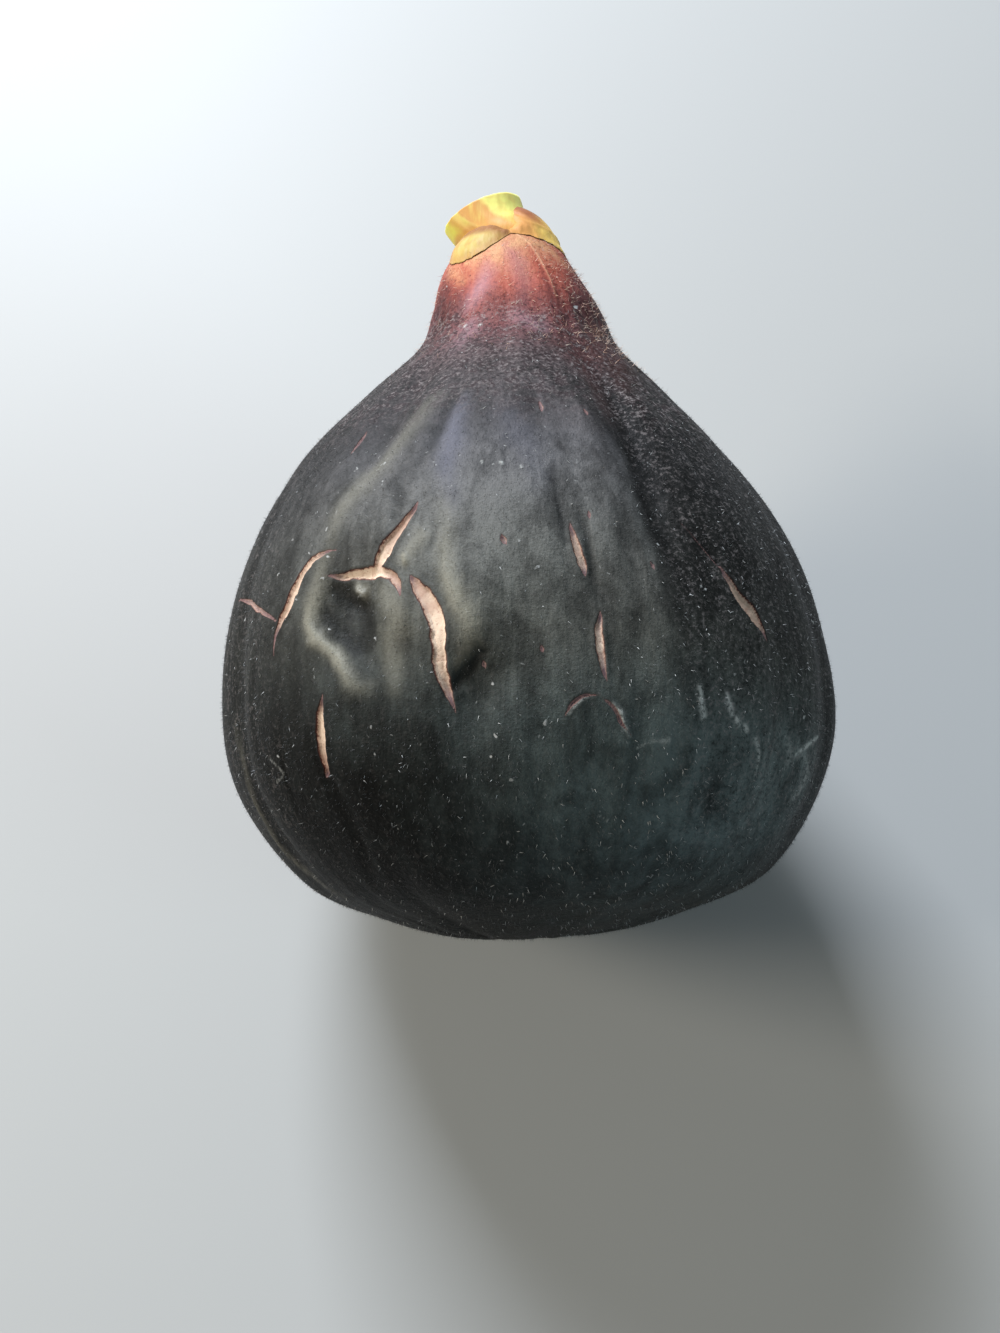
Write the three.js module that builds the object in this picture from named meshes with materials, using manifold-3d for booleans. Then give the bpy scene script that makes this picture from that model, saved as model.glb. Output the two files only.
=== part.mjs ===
// A fresh dark fig, picked, lying on its side with its cut stalk end raised.
//
// The fruit is drawn in its own frame first: a height along its axis, from the eye to the
// stalk, and a turn round that axis, 0 on the side that lies uppermost and positive towards +X.
// Then it is laid down: the axis leans back to the horizontal but for AXIS_RISE, the side that
// meets the table is pressed flat, and the whole is centred over the origin. Millimetres, +Z up.

import * as THREE from "three";
import Module from "manifold-3d";
import { mergeVertices } from "three/addons/utils/BufferGeometryUtils.js";

const wasm = await Module();
wasm.setup();

const degrees = THREE.MathUtils.degToRad;

// ---- Driving dimensions ----

const AXIS_RISE = degrees(18);
const REST_SINK = 2.0; // how much of the soft side the table presses flat
const FIT_GAP = 0.3; // clear space between neighbouring pieces
const ROUND_SIDES = 36; // sides of what is turned
const HALVINGS = 30; // enough to find a height on an outline to well under a micrometre
const ROUNDNESS = 0.97; // height over width of the cross-section
const EYE_SLANT = 0.04; // the eye end is a little lower on the left
const SLANT_REACH = 26;

// The outline from the eye to the top of the neck: height, radius, sideways place of the axis.
const FRUIT_RINGS = [
  [1.2, 0.0, 0.0],
  [0.6, 3.4, -0.1],
  [0.9, 7.2, -0.2],
  [2.4, 12.7, 0.2],
  [5.5, 19.5, 0.3],
  [12.9, 24.7, -0.3],
  [21.1, 26.0, -0.6],
  [30.9, 24.3, -1.0],
  [39.4, 20.1, -1.3],
  [46.5, 14.3, -1.3],
  [51.9, 9.6, -1.1],
  [56.0, 8.0, -1.3],
  [59.6, 6.6, -1.95],
  [62.2, 5.2, -2.07],
  [63.2, 4.1, -2.2],
];
const NECK_TOP = FRUIT_RINGS[FRUIT_RINGS.length - 1][0];
const FRUIT_ROWS = 56;
const FRUIT_SIDES = 80;

// Shallow furrows between the ribs: turn, first and last height, depth.
const FURROWS = [
  [-158, 8, 50, 0.5],
  [-128, 6, 48, 0.4],
  [-96, 4, 46, 0.5],
  [-62, 2, 40, 0.5],
  [-31, 33, 50, 0.7],
  [-10, 10, 22, 0.4],
  [8, 20, 46, 0.3],
  [24, 26, 52, 0.9],
  [44, 6, 30, 0.3],
  [63, 4, 44, 0.5],
  [92, 8, 46, 0.4],
  [124, 5, 50, 0.5],
  [156, 10, 44, 0.4],
];
const FURROW_WIDTH = 1.9;
const FURROW_FADE = 6;

// The soft dent on the upper left flank: height, turn, radius, rise above the skin.
const DENT_FORMS = [
  [24.8, -30, 3.2, -1.2],
  [21.6, -26, 3.0, -0.7],
  [23.6, -22, 2.2, 0.5],
  [26.4, -38, 2.3, 0.5],
  [22.6, -37, 2.2, 0.5],
  [19.4, -30, 2.3, 0.4],
  [25.5, -9, 2.4, 0.4],
  [21.8, -10, 2.4, 0.4],
  [19.3, -8, 2.3, -0.5],
];

// Splits in the ripe skin, each a path of height, turn and width.
const SPLITS = [
  // the stem and the arms of the forked one
  [[31.9, -18.5, 0.1], [30.3, -20.9, 0.65], [28.4, -24.1, 0.85], [26.9, -26.0, 0.6]],
  [[27.1, -35.2, 0.1], [27.0, -30.0, 0.75], [26.95, -25.6, 0.85], [26.3, -22.1, 0.6], [24.9, -20.3, 0.1]],
  // the long wide one
  [
    [26.4, -18.9, 0.1], [25.3, -17.4, 0.8], [23.1, -14.9, 1.2],
    [21.0, -14.5, 1.0], [18.8, -13.8, 0.7], [16.6, -12.0, 0.1],
  ],
  // the left flank, with its branch, and the short one below
  [[29.0, -33.5, 0.1], [28.5, -38.3, 0.6], [26.4, -41.8, 0.9], [24.3, -44.6, 0.6], [21.8, -46.0, 0.1]],
  [[27.7, -68.0, 0.15], [26.5, -57.5, 0.4], [24.9, -48.6, 0.3], [24.4, -46.0, 0.15]],
  [[18.6, -34.2, 0.1], [16.8, -35.2, 0.7], [14.8, -36.1, 0.65], [13.1, -36.9, 0.1]],
  // two right of the middle and one on the right flank
  [[29.9, 6.5, 0.1], [27.8, 7.6, 0.5], [26.0, 8.4, 0.1]],
  [[23.6, 10.0, 0.1], [21.8, 9.5, 0.5], [20.8, 9.4, 0.5], [18.8, 10.2, 0.1]],
  [[27.7, 32.7, 0.1], [26.1, 34.5, 0.65], [24.5, 37.6, 0.8], [22.6, 40.3, 0.1]],
];
const SPLIT_DEPTH = 0.9; // depth over width
const SPLIT_FLOOR = 0.15;
const SPLIT_HEADROOM = 0.5; // how far the cutter stands out of the skin
const STEP_ALONG = 0.002; // small steps along and round the skin that give its outward direction
const STEP_ROUND = 0.5;

// The eye: a rosette of scales that closes the opening opposite the stalk.
const EYE_RADIUS = 2.7;
const EYE_DEPTH = 1.2;
const EYE_FLOOR = 2.5; // height of the rosette's base along the axis
const EYE_ROWS = [
  { count: 8, spread: 2.35, tilt: degrees(6), lift: 0.15 },
  { count: 5, spread: 1.55, tilt: degrees(12), lift: 0.3 },
];
const POCKET_CUT = 7; // length of the cutter for the eye's pocket
const SCALE_LENGTH = 1.9;
const SCALE_WIDTH = 1.5;
const SCALE_THICKNESS = 0.45;
const SCALE_ROOT = 0.35; // half width at the root, over the scale's width
const SCALE_BELLY = 0.62; // half width and place of the corner that its rounded sides reach for
const SCALE_BELLY_PLACE = 0.6;
const CURVE_STEPS = 4;

// The cut stalk: height, radius, sideways place, and how far the ring tips to the left.
const STALK_RINGS = [
  [63.5, 4.3, -2.2, 0.0],
  [64.5, 3.95, -3.1, 0.1],
  [65.5, 3.7, -3.9, 0.2],
  [66.7, 3.6, -4.4, 0.38],
];
const STALK_ROWS = 6;
const STALK_SIDES = 48;
const STALK_RIDGES = 0.02;
const STALK_RIDGE_TURN = 35;
const STALK_CORNER = { turn: 125, width: 24, rise: 0.4 }; // one corner of the stub stands out
const CUT_DISH = 0.35; // the cut face has dried a little hollow
const CUT_RIM = 0.18; // width of the rim round the hollow, over the radius

// The three basal bracts, fused in a collar whose free edges lap down over the neck. Each has
// its middle turn, half width in degrees, heights of its free edge and top, and its swelling.
const BRACT_SEAM = 62.25; // height of the free edge where two bracts meet
const BRACT_SEAM_TOP = 64.0;
const BRACT_RIM = 0.1; // how far the top edge stands out from the stalk
const BRACT_LIP = 0.65; // how far the free edge stands out from the neck
const BRACT_SINK = 0.6; // how deep the collar reaches into the stalk
const BRACTS = [
  { middle: -39, half: 39, edge: 59.5, top: 64.2, swelling: 0.45 },
  { middle: 66, half: 69, edge: 61.8, top: 66.6, swelling: 0.9 },
  { middle: 205, half: 83, edge: 60.9, top: 65.0, swelling: 0.45 },
];
const BRACT_SHARES = [1, 0.86, 0.7, 0.52, 0.32, 0.14, 0]; // rows of the outside, from the top down
const BRACT_BELLY = 1.45; // above 1 the swelling is thickest past the middle
const CORE_BLEND = [NECK_TOP - 0.6, NECK_TOP + 0.4]; // where the neck passes into the stalk

// ---- Smooth steps and curves ----

function smoothStep(from, to, value) {
  return THREE.MathUtils.smoothstep(value, from, to);
}

// A smooth curve through the rows of a table, all columns together (Catmull-Rom).
function along(table, share) {
  const last = table.length - 1;
  const place = THREE.MathUtils.clamp(share, 0, 1) * last;
  const start = Math.min(Math.floor(place), last - 1);
  const w = place - start;
  const [before, a, b, after] = [start - 1, start, start + 1, start + 2].map(
    (row) => table[THREE.MathUtils.clamp(row, 0, last)]
  );
  return a.map((value, column) => {
    const leave = (b[column] - before[column]) / 2;
    const arrive = (after[column] - value) / 2;
    const gap = b[column] - value;
    return value + w * (leave + w * (3 * gap - 2 * leave - arrive + w * (leave + arrive - 2 * gap)));
  });
}

// The share of a table of rings at which it reaches a height, past the eye's rim.
function shareAtHeight(table, height) {
  let low = table === FRUIT_RINGS ? 1 / (table.length - 1) : 0;
  let high = 1;
  for (let step = 0; step < HALVINGS; step += 1) {
    const middle = (low + high) / 2;
    if (along(table, middle)[0] < height) low = middle;
    else high = middle;
  }
  return (low + high) / 2;
}

// ---- From the fig's own frame to the table ----

function tipBack(side, up, height) {
  return new THREE.Vector3(
    side,
    height * Math.cos(AXIS_RISE) - up * Math.sin(AXIS_RISE),
    height * Math.sin(AXIS_RISE) + up * Math.cos(AXIS_RISE)
  );
}

// Degrees from one turn to another, the short way.
function turnBetween(turn, other) {
  return ((turn - other + 540) % 360) - 180;
}

// Arc, in mm round the fruit, between two turns in degrees.
function arcBetween(turn, other, radius) {
  return degrees(turnBetween(turn, other)) * radius;
}

function furrowRelief(height, turn, radius) {
  let relief = 0;
  for (const [place, first, last, depth] of FURROWS) {
    const across = arcBetween(turn, place, radius) / FURROW_WIDTH;
    const reach =
      smoothStep(first, first + FURROW_FADE, height) * (1 - smoothStep(last - FURROW_FADE, last, height));
    relief -= depth * reach * Math.exp(-across * across);
  }
  return relief;
}

function dentRelief(height, turn, radius) {
  let relief = 0;
  for (const [place, side, spread, rise] of DENT_FORMS) {
    const up = (height - place) / spread;
    const across = arcBetween(turn, side, radius) / spread;
    relief += rise * Math.exp(-up * up - across * across);
  }
  return relief;
}

// A point of the skin before the fruit is laid down, from a share of its outline and a turn.
function skinPoint(share, turn) {
  const [height, radius, side] = along(FRUIT_RINGS, share);
  const reach = radius + furrowRelief(height, turn, radius) + dentRelief(height, turn, radius);
  const x = reach * Math.sin(degrees(turn)) + side;
  const up = ROUNDNESS * reach * Math.cos(degrees(turn));
  const slant = EYE_SLANT * x * Math.max(0, 1 - height / SLANT_REACH);
  return tipBack(x, up, height + slant);
}

// ---- Closed meshes ----

// A closed body from rows of points, each row a ring of the same number of points that runs
// clockwise seen from the last row. The first and last rows are closed with a middle point.
function bodyFromRows(rows, firstMiddle, lastMiddle) {
  const sides = rows[0].length;
  const positions = rows.flat().flatMap((point) => point.toArray());
  const triangles = [];
  const corner = (row, side) => row * sides + (side % sides);
  for (let row = 0; row + 1 < rows.length; row += 1) {
    for (let side = 0; side < sides; side += 1) {
      const [a, b] = [corner(row, side), corner(row, side + 1)];
      const [c, d] = [corner(row + 1, side), corner(row + 1, side + 1)];
      triangles.push(a, b, c, b, d, c);
    }
  }
  const first = positions.length / 3;
  positions.push(...firstMiddle.toArray(), ...lastMiddle.toArray());
  const lastRow = rows.length - 1;
  for (let side = 0; side < sides; side += 1) {
    triangles.push(first, corner(0, side + 1), corner(0, side));
    triangles.push(first + 1, corner(lastRow, side), corner(lastRow, side + 1));
  }
  return solid(positions, triangles);
}

// A closed body from sections set round a ring, each a loop of the same number of points.
function ringBody(sections) {
  const count = sections.length;
  const sides = sections[0].length;
  const positions = sections.flat().flatMap((point) => point.toArray());
  const triangles = [];
  const corner = (section, side) => (section % count) * sides + (side % sides);
  for (let section = 0; section < count; section += 1) {
    for (let side = 0; side < sides; side += 1) {
      const [a, b] = [corner(section, side), corner(section, side + 1)];
      const [c, d] = [corner(section + 1, side), corner(section + 1, side + 1)];
      triangles.push(a, b, c, b, d, c);
    }
  }
  return solid(positions, triangles);
}

function solid(positions, triangles) {
  return new wasm.Manifold(
    new wasm.Mesh({
      numProp: 3,
      vertProperties: new Float32Array(positions),
      triVerts: new Uint32Array(triangles),
    })
  );
}

function solidFromGeometry(geometry) {
  geometry.deleteAttribute("normal");
  geometry.deleteAttribute("uv");
  const merged = mergeVertices(geometry, 1e-4);
  return solid(merged.attributes.position.array, merged.index.array);
}

function geometryFromSolid(body) {
  const mesh = body.getMesh();
  const geometry = new THREE.BufferGeometry();
  geometry.setAttribute("position", new THREE.BufferAttribute(mesh.vertProperties, 3));
  geometry.setIndex(new THREE.BufferAttribute(mesh.triVerts, 1));
  geometry.computeVertexNormals();
  return geometry;
}

function joined(solids) {
  return solids.reduce((whole, piece) => whole.add(piece));
}

// ---- The fruit ----

const turnsOf = (sides) => Array.from({ length: sides }, (_, side) => (360 * side) / sides - 180);

function skinRows() {
  const shares = Array.from({ length: FRUIT_ROWS }, (_, row) => (row + 1) / FRUIT_ROWS);
  return shares.map((share) => turnsOf(FRUIT_SIDES).map((turn) => skinPoint(share, turn)));
}

// The fruit lies REST_SINK deep in the table, and what is below the table is pressed flat.
const rows = skinRows();
const drop = -Math.min(...rows.flat().map((point) => point.z)) - REST_SINK;

function pressFlat(point) {
  return new THREE.Vector3(point.x, point.y, Math.max(0, point.z + drop));
}

function laidSkin(share, turn) {
  return pressFlat(skinPoint(share, turn));
}

function outwardAt(share, turn) {
  const up = laidSkin(share + STEP_ALONG, turn).sub(laidSkin(share - STEP_ALONG, turn));
  const round = laidSkin(share, turn + STEP_ROUND).sub(laidSkin(share, turn - STEP_ROUND));
  return round.cross(up).normalize();
}

// A wedge along a split, narrow at its root, that stands out of the skin.
function splitCutter(path) {
  const shares = path.map(([height]) => shareAtHeight(FRUIT_RINGS, height));
  const points = path.map(([, turn], index) => laidSkin(shares[index], turn));
  const rings = path.map(([, turn, width], index) => {
    const outward = outwardAt(shares[index], turn);
    const next = points[Math.min(index + 1, points.length - 1)];
    const previous = points[Math.max(index - 1, 0)];
    const across = outward.clone().cross(next.clone().sub(previous)).normalize();
    const depth = SPLIT_FLOOR + SPLIT_DEPTH * width;
    const half = (width / 2) * (1 + SPLIT_HEADROOM / depth);
    const root = points[index].clone().addScaledVector(outward, -depth);
    const roof = points[index].clone().addScaledVector(outward, SPLIT_HEADROOM);
    return [root, roof.clone().addScaledVector(across, half), roof.clone().addScaledVector(across, -half)];
  });
  const middleOf = (ring) => ring[0].clone().add(ring[1]).add(ring[2]).divideScalar(ring.length);
  return bodyFromRows(rings, middleOf(rings[0]), middleOf(rings[rings.length - 1]));
}

// Places a solid whose +Y is the fig's axis at a height on that axis.
function inFruitFrame(body, height) {
  const centre = tipBack(0, 0, height);
  return body
    .rotate([THREE.MathUtils.radToDeg(AXIS_RISE), 0, 0])
    .translate([centre.x, centre.y, centre.z + drop]);
}

function eyePocket() {
  const reach = EYE_RADIUS + FIT_GAP;
  const pocket = new THREE.CylinderGeometry(reach, reach, POCKET_CUT, ROUND_SIDES);
  return inFruitFrame(solidFromGeometry(pocket), EYE_FLOOR + FIT_GAP - POCKET_CUT / 2);
}

function makeFruit() {
  const [topHeight, , topSide] = FRUIT_RINGS[FRUIT_RINGS.length - 1];
  const neckMiddle = pressFlat(tipBack(topSide, 0, topHeight));
  const whole = bodyFromRows(rows.map((ring) => ring.map(pressFlat)), laidSkin(0, 0), neckMiddle);
  const splits = joined(SPLITS.map(splitCutter));
  return whole.subtract(splits).subtract(eyePocket());
}

// ---- The eye ----

// One scale: a pointed oval plate with its root at the origin and its tip along +X.
function scalePlate() {
  const root = SCALE_WIDTH * SCALE_ROOT;
  const belly = SCALE_WIDTH * SCALE_BELLY;
  const place = SCALE_LENGTH * SCALE_BELLY_PLACE;
  const outline = new THREE.Shape();
  outline.moveTo(0, -root);
  outline.quadraticCurveTo(place, -belly, SCALE_LENGTH, 0);
  outline.quadraticCurveTo(place, belly, 0, root);
  outline.closePath();
  const options = { depth: SCALE_THICKNESS, bevelEnabled: false, curveSegments: CURVE_STEPS };
  return new THREE.ExtrudeGeometry(outline, options);
}

function makeEye() {
  const base = new THREE.CylinderGeometry(EYE_RADIUS, EYE_RADIUS, EYE_DEPTH, ROUND_SIDES);
  base.translate(0, -EYE_DEPTH / 2, 0);
  const pieces = [solidFromGeometry(base)];
  for (const { count, spread, tilt, lift } of EYE_ROWS) {
    for (let index = 0; index < count; index += 1) {
      const scale = scalePlate();
      scale.rotateX(Math.PI / 2);
      scale.rotateZ(tilt);
      scale.rotateY(Math.PI);
      scale.translate(spread, SCALE_THICKNESS - EYE_DEPTH - lift, 0);
      scale.rotateY((2 * Math.PI * (index + 0.5 * (count % 2))) / count);
      pieces.push(solidFromGeometry(scale));
    }
  }
  return inFruitFrame(joined(pieces), EYE_FLOOR);
}

// ---- The stalk and its bracts ----

// A point of the stub's side, or of its cut face where it is inset from the rim by a share.
function stalkPoint(share, turn, inset) {
  const [height, radius, side, tip] = along(STALK_RINGS, share);
  const ridges = 1 + STALK_RIDGES * Math.cos(3 * degrees(turn - STALK_RIDGE_TURN));
  const fromCorner = turnBetween(turn, STALK_CORNER.turn) / STALK_CORNER.width;
  const corner = STALK_CORNER.rise * Math.exp(-fromCorner * fromCorner);
  const reach = (radius * ridges + corner) * (1 - inset);
  const x = reach * Math.sin(degrees(turn));
  const up = ROUNDNESS * reach * Math.cos(degrees(turn));
  const dish = CUT_DISH * share * Math.min(inset / CUT_RIM, 1);
  const point = tipBack(side + x, up, height + tip * x - dish);
  point.z += drop;
  return point;
}

function makeStub() {
  const turns = turnsOf(STALK_SIDES);
  const rings = [];
  for (let row = 0; row <= STALK_ROWS; row += 1) {
    rings.push(turns.map((turn) => stalkPoint(row / STALK_ROWS, turn, 0)));
  }
  rings.push(turns.map((turn) => stalkPoint(1, turn, CUT_RIM)));
  return bodyFromRows(rings, stalkPoint(0, 0, 1), stalkPoint(1, 0, 1));
}

// The collar at a turn: the heights of its free edge and top, and how far it swells. The bracts
// reach furthest at their middles and meet at the seams.
function bractReach(turn) {
  let [edge, top, swelling] = [BRACT_SEAM, BRACT_SEAM_TOP, 0];
  for (const bract of BRACTS) {
    const offset = Math.min(Math.abs(turnBetween(turn, bract.middle)) / bract.half, 1);
    const fullness = Math.cos((offset * Math.PI) / 2);
    edge = Math.min(edge, BRACT_SEAM + (bract.edge - BRACT_SEAM) * fullness);
    top = Math.max(top, BRACT_SEAM_TOP + (bract.top - BRACT_SEAM_TOP) * fullness);
    swelling = Math.max(swelling, bract.swelling * fullness);
  }
  return { edge, top, swelling };
}

function ringAt(table, height) {
  const [, radius, side] = along(table, shareAtHeight(table, height));
  return { radius, side };
}

// What the bracts lie on: the neck, then the stub, with a soft passage between them.
function coreRing(height) {
  const neck = ringAt(FRUIT_RINGS, Math.min(height, NECK_TOP));
  const stub = ringAt(STALK_RINGS, Math.max(height, NECK_TOP));
  const blend = smoothStep(CORE_BLEND[0], CORE_BLEND[1], height);
  return {
    radius: THREE.MathUtils.lerp(neck.radius, stub.radius, blend),
    side: THREE.MathUtils.lerp(neck.side, stub.side, blend),
  };
}

function ringPoint({ radius, side }, height, turn, out) {
  const x = (radius + out) * Math.sin(degrees(turn)) + side;
  const up = ROUNDNESS * (radius + out) * Math.cos(degrees(turn));
  const point = tipBack(x, up, height);
  point.z += drop;
  return point;
}

// The outside of the collar: straight from the free edge to the top, and swollen between.
function collarOutside(turn) {
  const { edge, top, swelling } = bractReach(turn);
  const reachOf = ({ radius, side }) => radius + side * Math.sin(degrees(turn));
  const [low, high] = [reachOf(coreRing(edge)), reachOf(coreRing(top))];
  return BRACT_SHARES.map((share) => {
    const height = edge + share * (top - edge);
    const core = coreRing(height);
    const hollow = Math.max(0, low + (high - low) * share - reachOf(core));
    const swell = swelling * Math.sin(Math.PI * share ** BRACT_BELLY);
    const lip = (BRACT_LIP - BRACT_RIM) * (1 - share) ** 2;
    return ringPoint(core, height, turn, BRACT_RIM + hollow + swell + lip);
  });
}

// The inside: it clears the neck and its flat top, then reaches into the stub.
function collarInside(turn) {
  const { edge, top } = bractReach(turn);
  const floor = NECK_TOP + FIT_GAP;
  const neckTop = ringAt(FRUIT_RINGS, NECK_TOP);
  const middle = (edge + NECK_TOP) / 2;
  return [
    ringPoint(ringAt(FRUIT_RINGS, edge), edge, turn, FIT_GAP),
    ringPoint(ringAt(FRUIT_RINGS, middle), middle, turn, FIT_GAP),
    ringPoint(neckTop, NECK_TOP, turn, FIT_GAP),
    ringPoint(neckTop, floor, turn, FIT_GAP),
    ringPoint(coreRing(floor), floor, turn, -BRACT_SINK),
    ringPoint(coreRing(top), top, turn, -BRACT_SINK),
  ];
}

function makeCollar() {
  return ringBody(turnsOf(STALK_SIDES).map((turn) => [...collarOutside(turn), ...collarInside(turn)]));
}

function makeStalk() {
  return joined([makeStub(), makeCollar()]);
}

// ---- The whole fig ----

const skinFinish = new THREE.MeshStandardMaterial({ color: 0x23222c, roughness: 0.62, metalness: 0 });
const eyeFinish = new THREE.MeshStandardMaterial({ color: 0x7a3b33, roughness: 0.7, metalness: 0 });
const stalkFinish = new THREE.MeshStandardMaterial({ color: 0xd9b445, roughness: 0.5, metalness: 0 });

function namedMesh(name, body, finish) {
  const mesh = new THREE.Mesh(geometryFromSolid(body), finish);
  mesh.name = name;
  return mesh;
}

const fig = new THREE.Group();
fig.add(namedMesh("fruit", makeFruit(), skinFinish));
fig.add(namedMesh("eye", makeEye(), eyeFinish));
fig.add(namedMesh("stalk", makeStalk(), stalkFinish));

// The origin is under the middle of the whole fig's box.
const box = new THREE.Box3().setFromObject(fig);
const middle = box.getCenter(new THREE.Vector3());
fig.position.set(-middle.x, -middle.y, 0);

export default fig;
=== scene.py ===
# %% [markdown]
# # A ripe dark fig
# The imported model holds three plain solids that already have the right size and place: the
# fruit, the eye and the stalk. They stay as they are for physics. This lesson puts a finer mesh
# and a finish in the place of each, and adds what only shows from near: the split skin with its
# pale flesh, the bloom, the pale flecks and the down. Lengths are worked out in millimetres in
# the fig's own frame, because that is how a fig is measured, and turned into metres at the end.

# %% Load the fixed frame
import math

import bmesh
import bpy
import numpy as np
from mathutils import Matrix, Vector


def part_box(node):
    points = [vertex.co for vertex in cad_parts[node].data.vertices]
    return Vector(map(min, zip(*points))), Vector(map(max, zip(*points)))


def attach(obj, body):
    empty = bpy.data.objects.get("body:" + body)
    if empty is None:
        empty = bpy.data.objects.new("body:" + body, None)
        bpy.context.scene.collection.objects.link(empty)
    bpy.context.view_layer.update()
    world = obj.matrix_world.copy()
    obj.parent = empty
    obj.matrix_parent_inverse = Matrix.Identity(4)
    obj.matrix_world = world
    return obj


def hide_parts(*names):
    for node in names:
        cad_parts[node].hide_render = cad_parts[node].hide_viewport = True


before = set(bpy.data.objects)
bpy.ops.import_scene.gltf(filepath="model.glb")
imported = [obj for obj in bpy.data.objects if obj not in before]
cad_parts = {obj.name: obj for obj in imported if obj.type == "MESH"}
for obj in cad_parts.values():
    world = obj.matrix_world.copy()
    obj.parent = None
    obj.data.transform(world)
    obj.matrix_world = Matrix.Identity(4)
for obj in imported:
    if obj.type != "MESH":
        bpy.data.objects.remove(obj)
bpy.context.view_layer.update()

MM = 0.001

# %% [markdown]
# ## The fig's own frame
# A fruit is nearly a body of revolution, so it is drawn as one: a height along its axis from the
# eye to the stalk, and a turn round it. A table of a few rings gives the outline. A Catmull-Rom
# curve runs smoothly through them, all columns together. Drawing the outline as Bezier handles
# would work too, but the rings can be read as sizes with a ruler.

# %% The outline and how it lies
AXIS_RISE = math.radians(18)
# height over width of the cross-section
ROUNDNESS = 0.97
# the eye end is a little lower on the left, up to this height
EYE_SLANT = 0.04
SLANT_REACH = 26

# height, radius, sideways place of the axis
FRUIT_RINGS = [
    (1.2, 0.0, 0.0),
    (0.6, 3.4, -0.1),
    (0.9, 7.2, -0.2),
    (2.4, 12.7, 0.2),
    (5.5, 19.5, 0.3),
    (12.9, 24.7, -0.3),
    (21.1, 26.0, -0.6),
    (30.9, 24.3, -1.0),
    (39.4, 20.1, -1.3),
    (46.5, 14.3, -1.3),
    (51.9, 9.6, -1.1),
    (56.0, 8.0, -1.3),
    (59.6, 6.6, -1.95),
    (62.2, 5.2, -2.07),
    (63.2, 4.1, -2.2),
]
NECK_TOP = FRUIT_RINGS[-1][0]
print("outline of", len(FRUIT_RINGS), "rings, widest", 2 * max(ring[1] for ring in FRUIT_RINGS), "mm")

# %% Curves through a table
# enough to find a height on an outline to well under a micrometre
HALVINGS = 30


def along(table, share):
    """A smooth curve through the rows of a table, at many shares of its length at once."""
    rows = np.asarray(table, float)
    last = len(rows) - 1
    place = np.clip(np.asarray(share, float), 0, 1) * last
    start = np.minimum(place.astype(int), last - 1)
    w = (place - start)[..., None]
    a, b = rows[start], rows[start + 1]
    leave = (b - rows[np.maximum(start - 1, 0)]) / 2
    arrive = (rows[np.minimum(start + 2, last)] - a) / 2
    bend = 3 * (b - a) - 2 * leave - arrive
    return a + w * (leave + w * (bend + w * (leave + arrive - 2 * (b - a))))


def share_at_height(table, height, low=0.0):
    """The share of a table of rings at which it reaches each height, by halving."""
    low = np.full(np.shape(height), low)
    high = np.ones(np.shape(height))
    for _ in range(HALVINGS):
        middle = (low + high) / 2
        below = along(table, middle)[..., 0] < height
        low = np.where(below, middle, low)
        high = np.where(below, high, middle)
    return (low + high) / 2


PAST_EYE = 1 / (len(FRUIT_RINGS) - 1)


def fruit_share(height):
    """The share of the fruit's outline at which it reaches each height, past the eye's rim."""
    return share_at_height(FRUIT_RINGS, np.asarray(height, float), PAST_EYE)


print("the outline is 30 mm high at", fruit_share(30.0).round(3), "of its length")

# %% Leaning back, and soft steps
def tip_back(side, up, height):
    """Own frame to a fig that leans back on its axis, in mm, before it is set on the table."""
    side, up, height = np.broadcast_arrays(side, up, height)
    y = height * math.cos(AXIS_RISE) - up * math.sin(AXIS_RISE)
    z = height * math.sin(AXIS_RISE) + up * math.cos(AXIS_RISE)
    return np.stack([side, y, z], -1)


def smooth_step(low, high, value):
    """0 at low and 1 at high, with a soft start and end."""
    share = np.clip((value - low) / (high - low), 0, 1)
    return share * share * (3 - 2 * share)


print("the top of the neck leans back to", tip_back(0, 0, NECK_TOP).round(1), "mm")

# %% [markdown]
# ## Ribs and the soft dent
# The skin of a fig has shallow furrows that run from the eye to the neck. Each is a bell-shaped
# dip across the turn that fades out at both ends. The dent on the upper left flank is a handful
# of soft hollows and swellings, as a thumb leaves in ripe fruit. Sculpting could do this, but
# short tables keep it the same each run, and the same as in the solids.

# %% Furrows and dent forms
# turn, first and last height, depth
FURROWS = [
    (-158, 8, 50, 0.5),
    (-128, 6, 48, 0.4),
    (-96, 4, 46, 0.5),
    (-62, 2, 40, 0.5),
    (-31, 33, 50, 0.7),
    (-10, 10, 22, 0.4),
    (8, 20, 46, 0.3),
    (24, 26, 52, 0.9),
    (44, 6, 30, 0.3),
    (63, 4, 44, 0.5),
    (92, 8, 46, 0.4),
    (124, 5, 50, 0.5),
    (156, 10, 44, 0.4),
]
FURROW_WIDTH = 1.9
FURROW_FADE = 6

# height, turn, radius, rise above the skin
DENT_FORMS = [
    (24.8, -30, 3.2, -1.2),
    (21.6, -26, 3.0, -0.7),
    (23.6, -22, 2.2, 0.5),
    (26.4, -38, 2.3, 0.5),
    (22.6, -37, 2.2, 0.5),
    (19.4, -30, 2.3, 0.4),
    (25.5, -9, 2.4, 0.4),
    (21.8, -10, 2.4, 0.4),
    (19.3, -8, 2.3, -0.5),
]
print(len(FURROWS), "furrows and", len(DENT_FORMS), "forms in the dent")

# %% Furrows, dent and skin
def turn_between(turn, other):
    """Degrees from one turn to another, the short way."""
    return (turn - other + 540) % 360 - 180


def arc_between(turn, other, radius):
    """Arc in mm round the fruit between two turns in degrees."""
    return np.radians(turn_between(turn, other)) * radius


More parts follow.
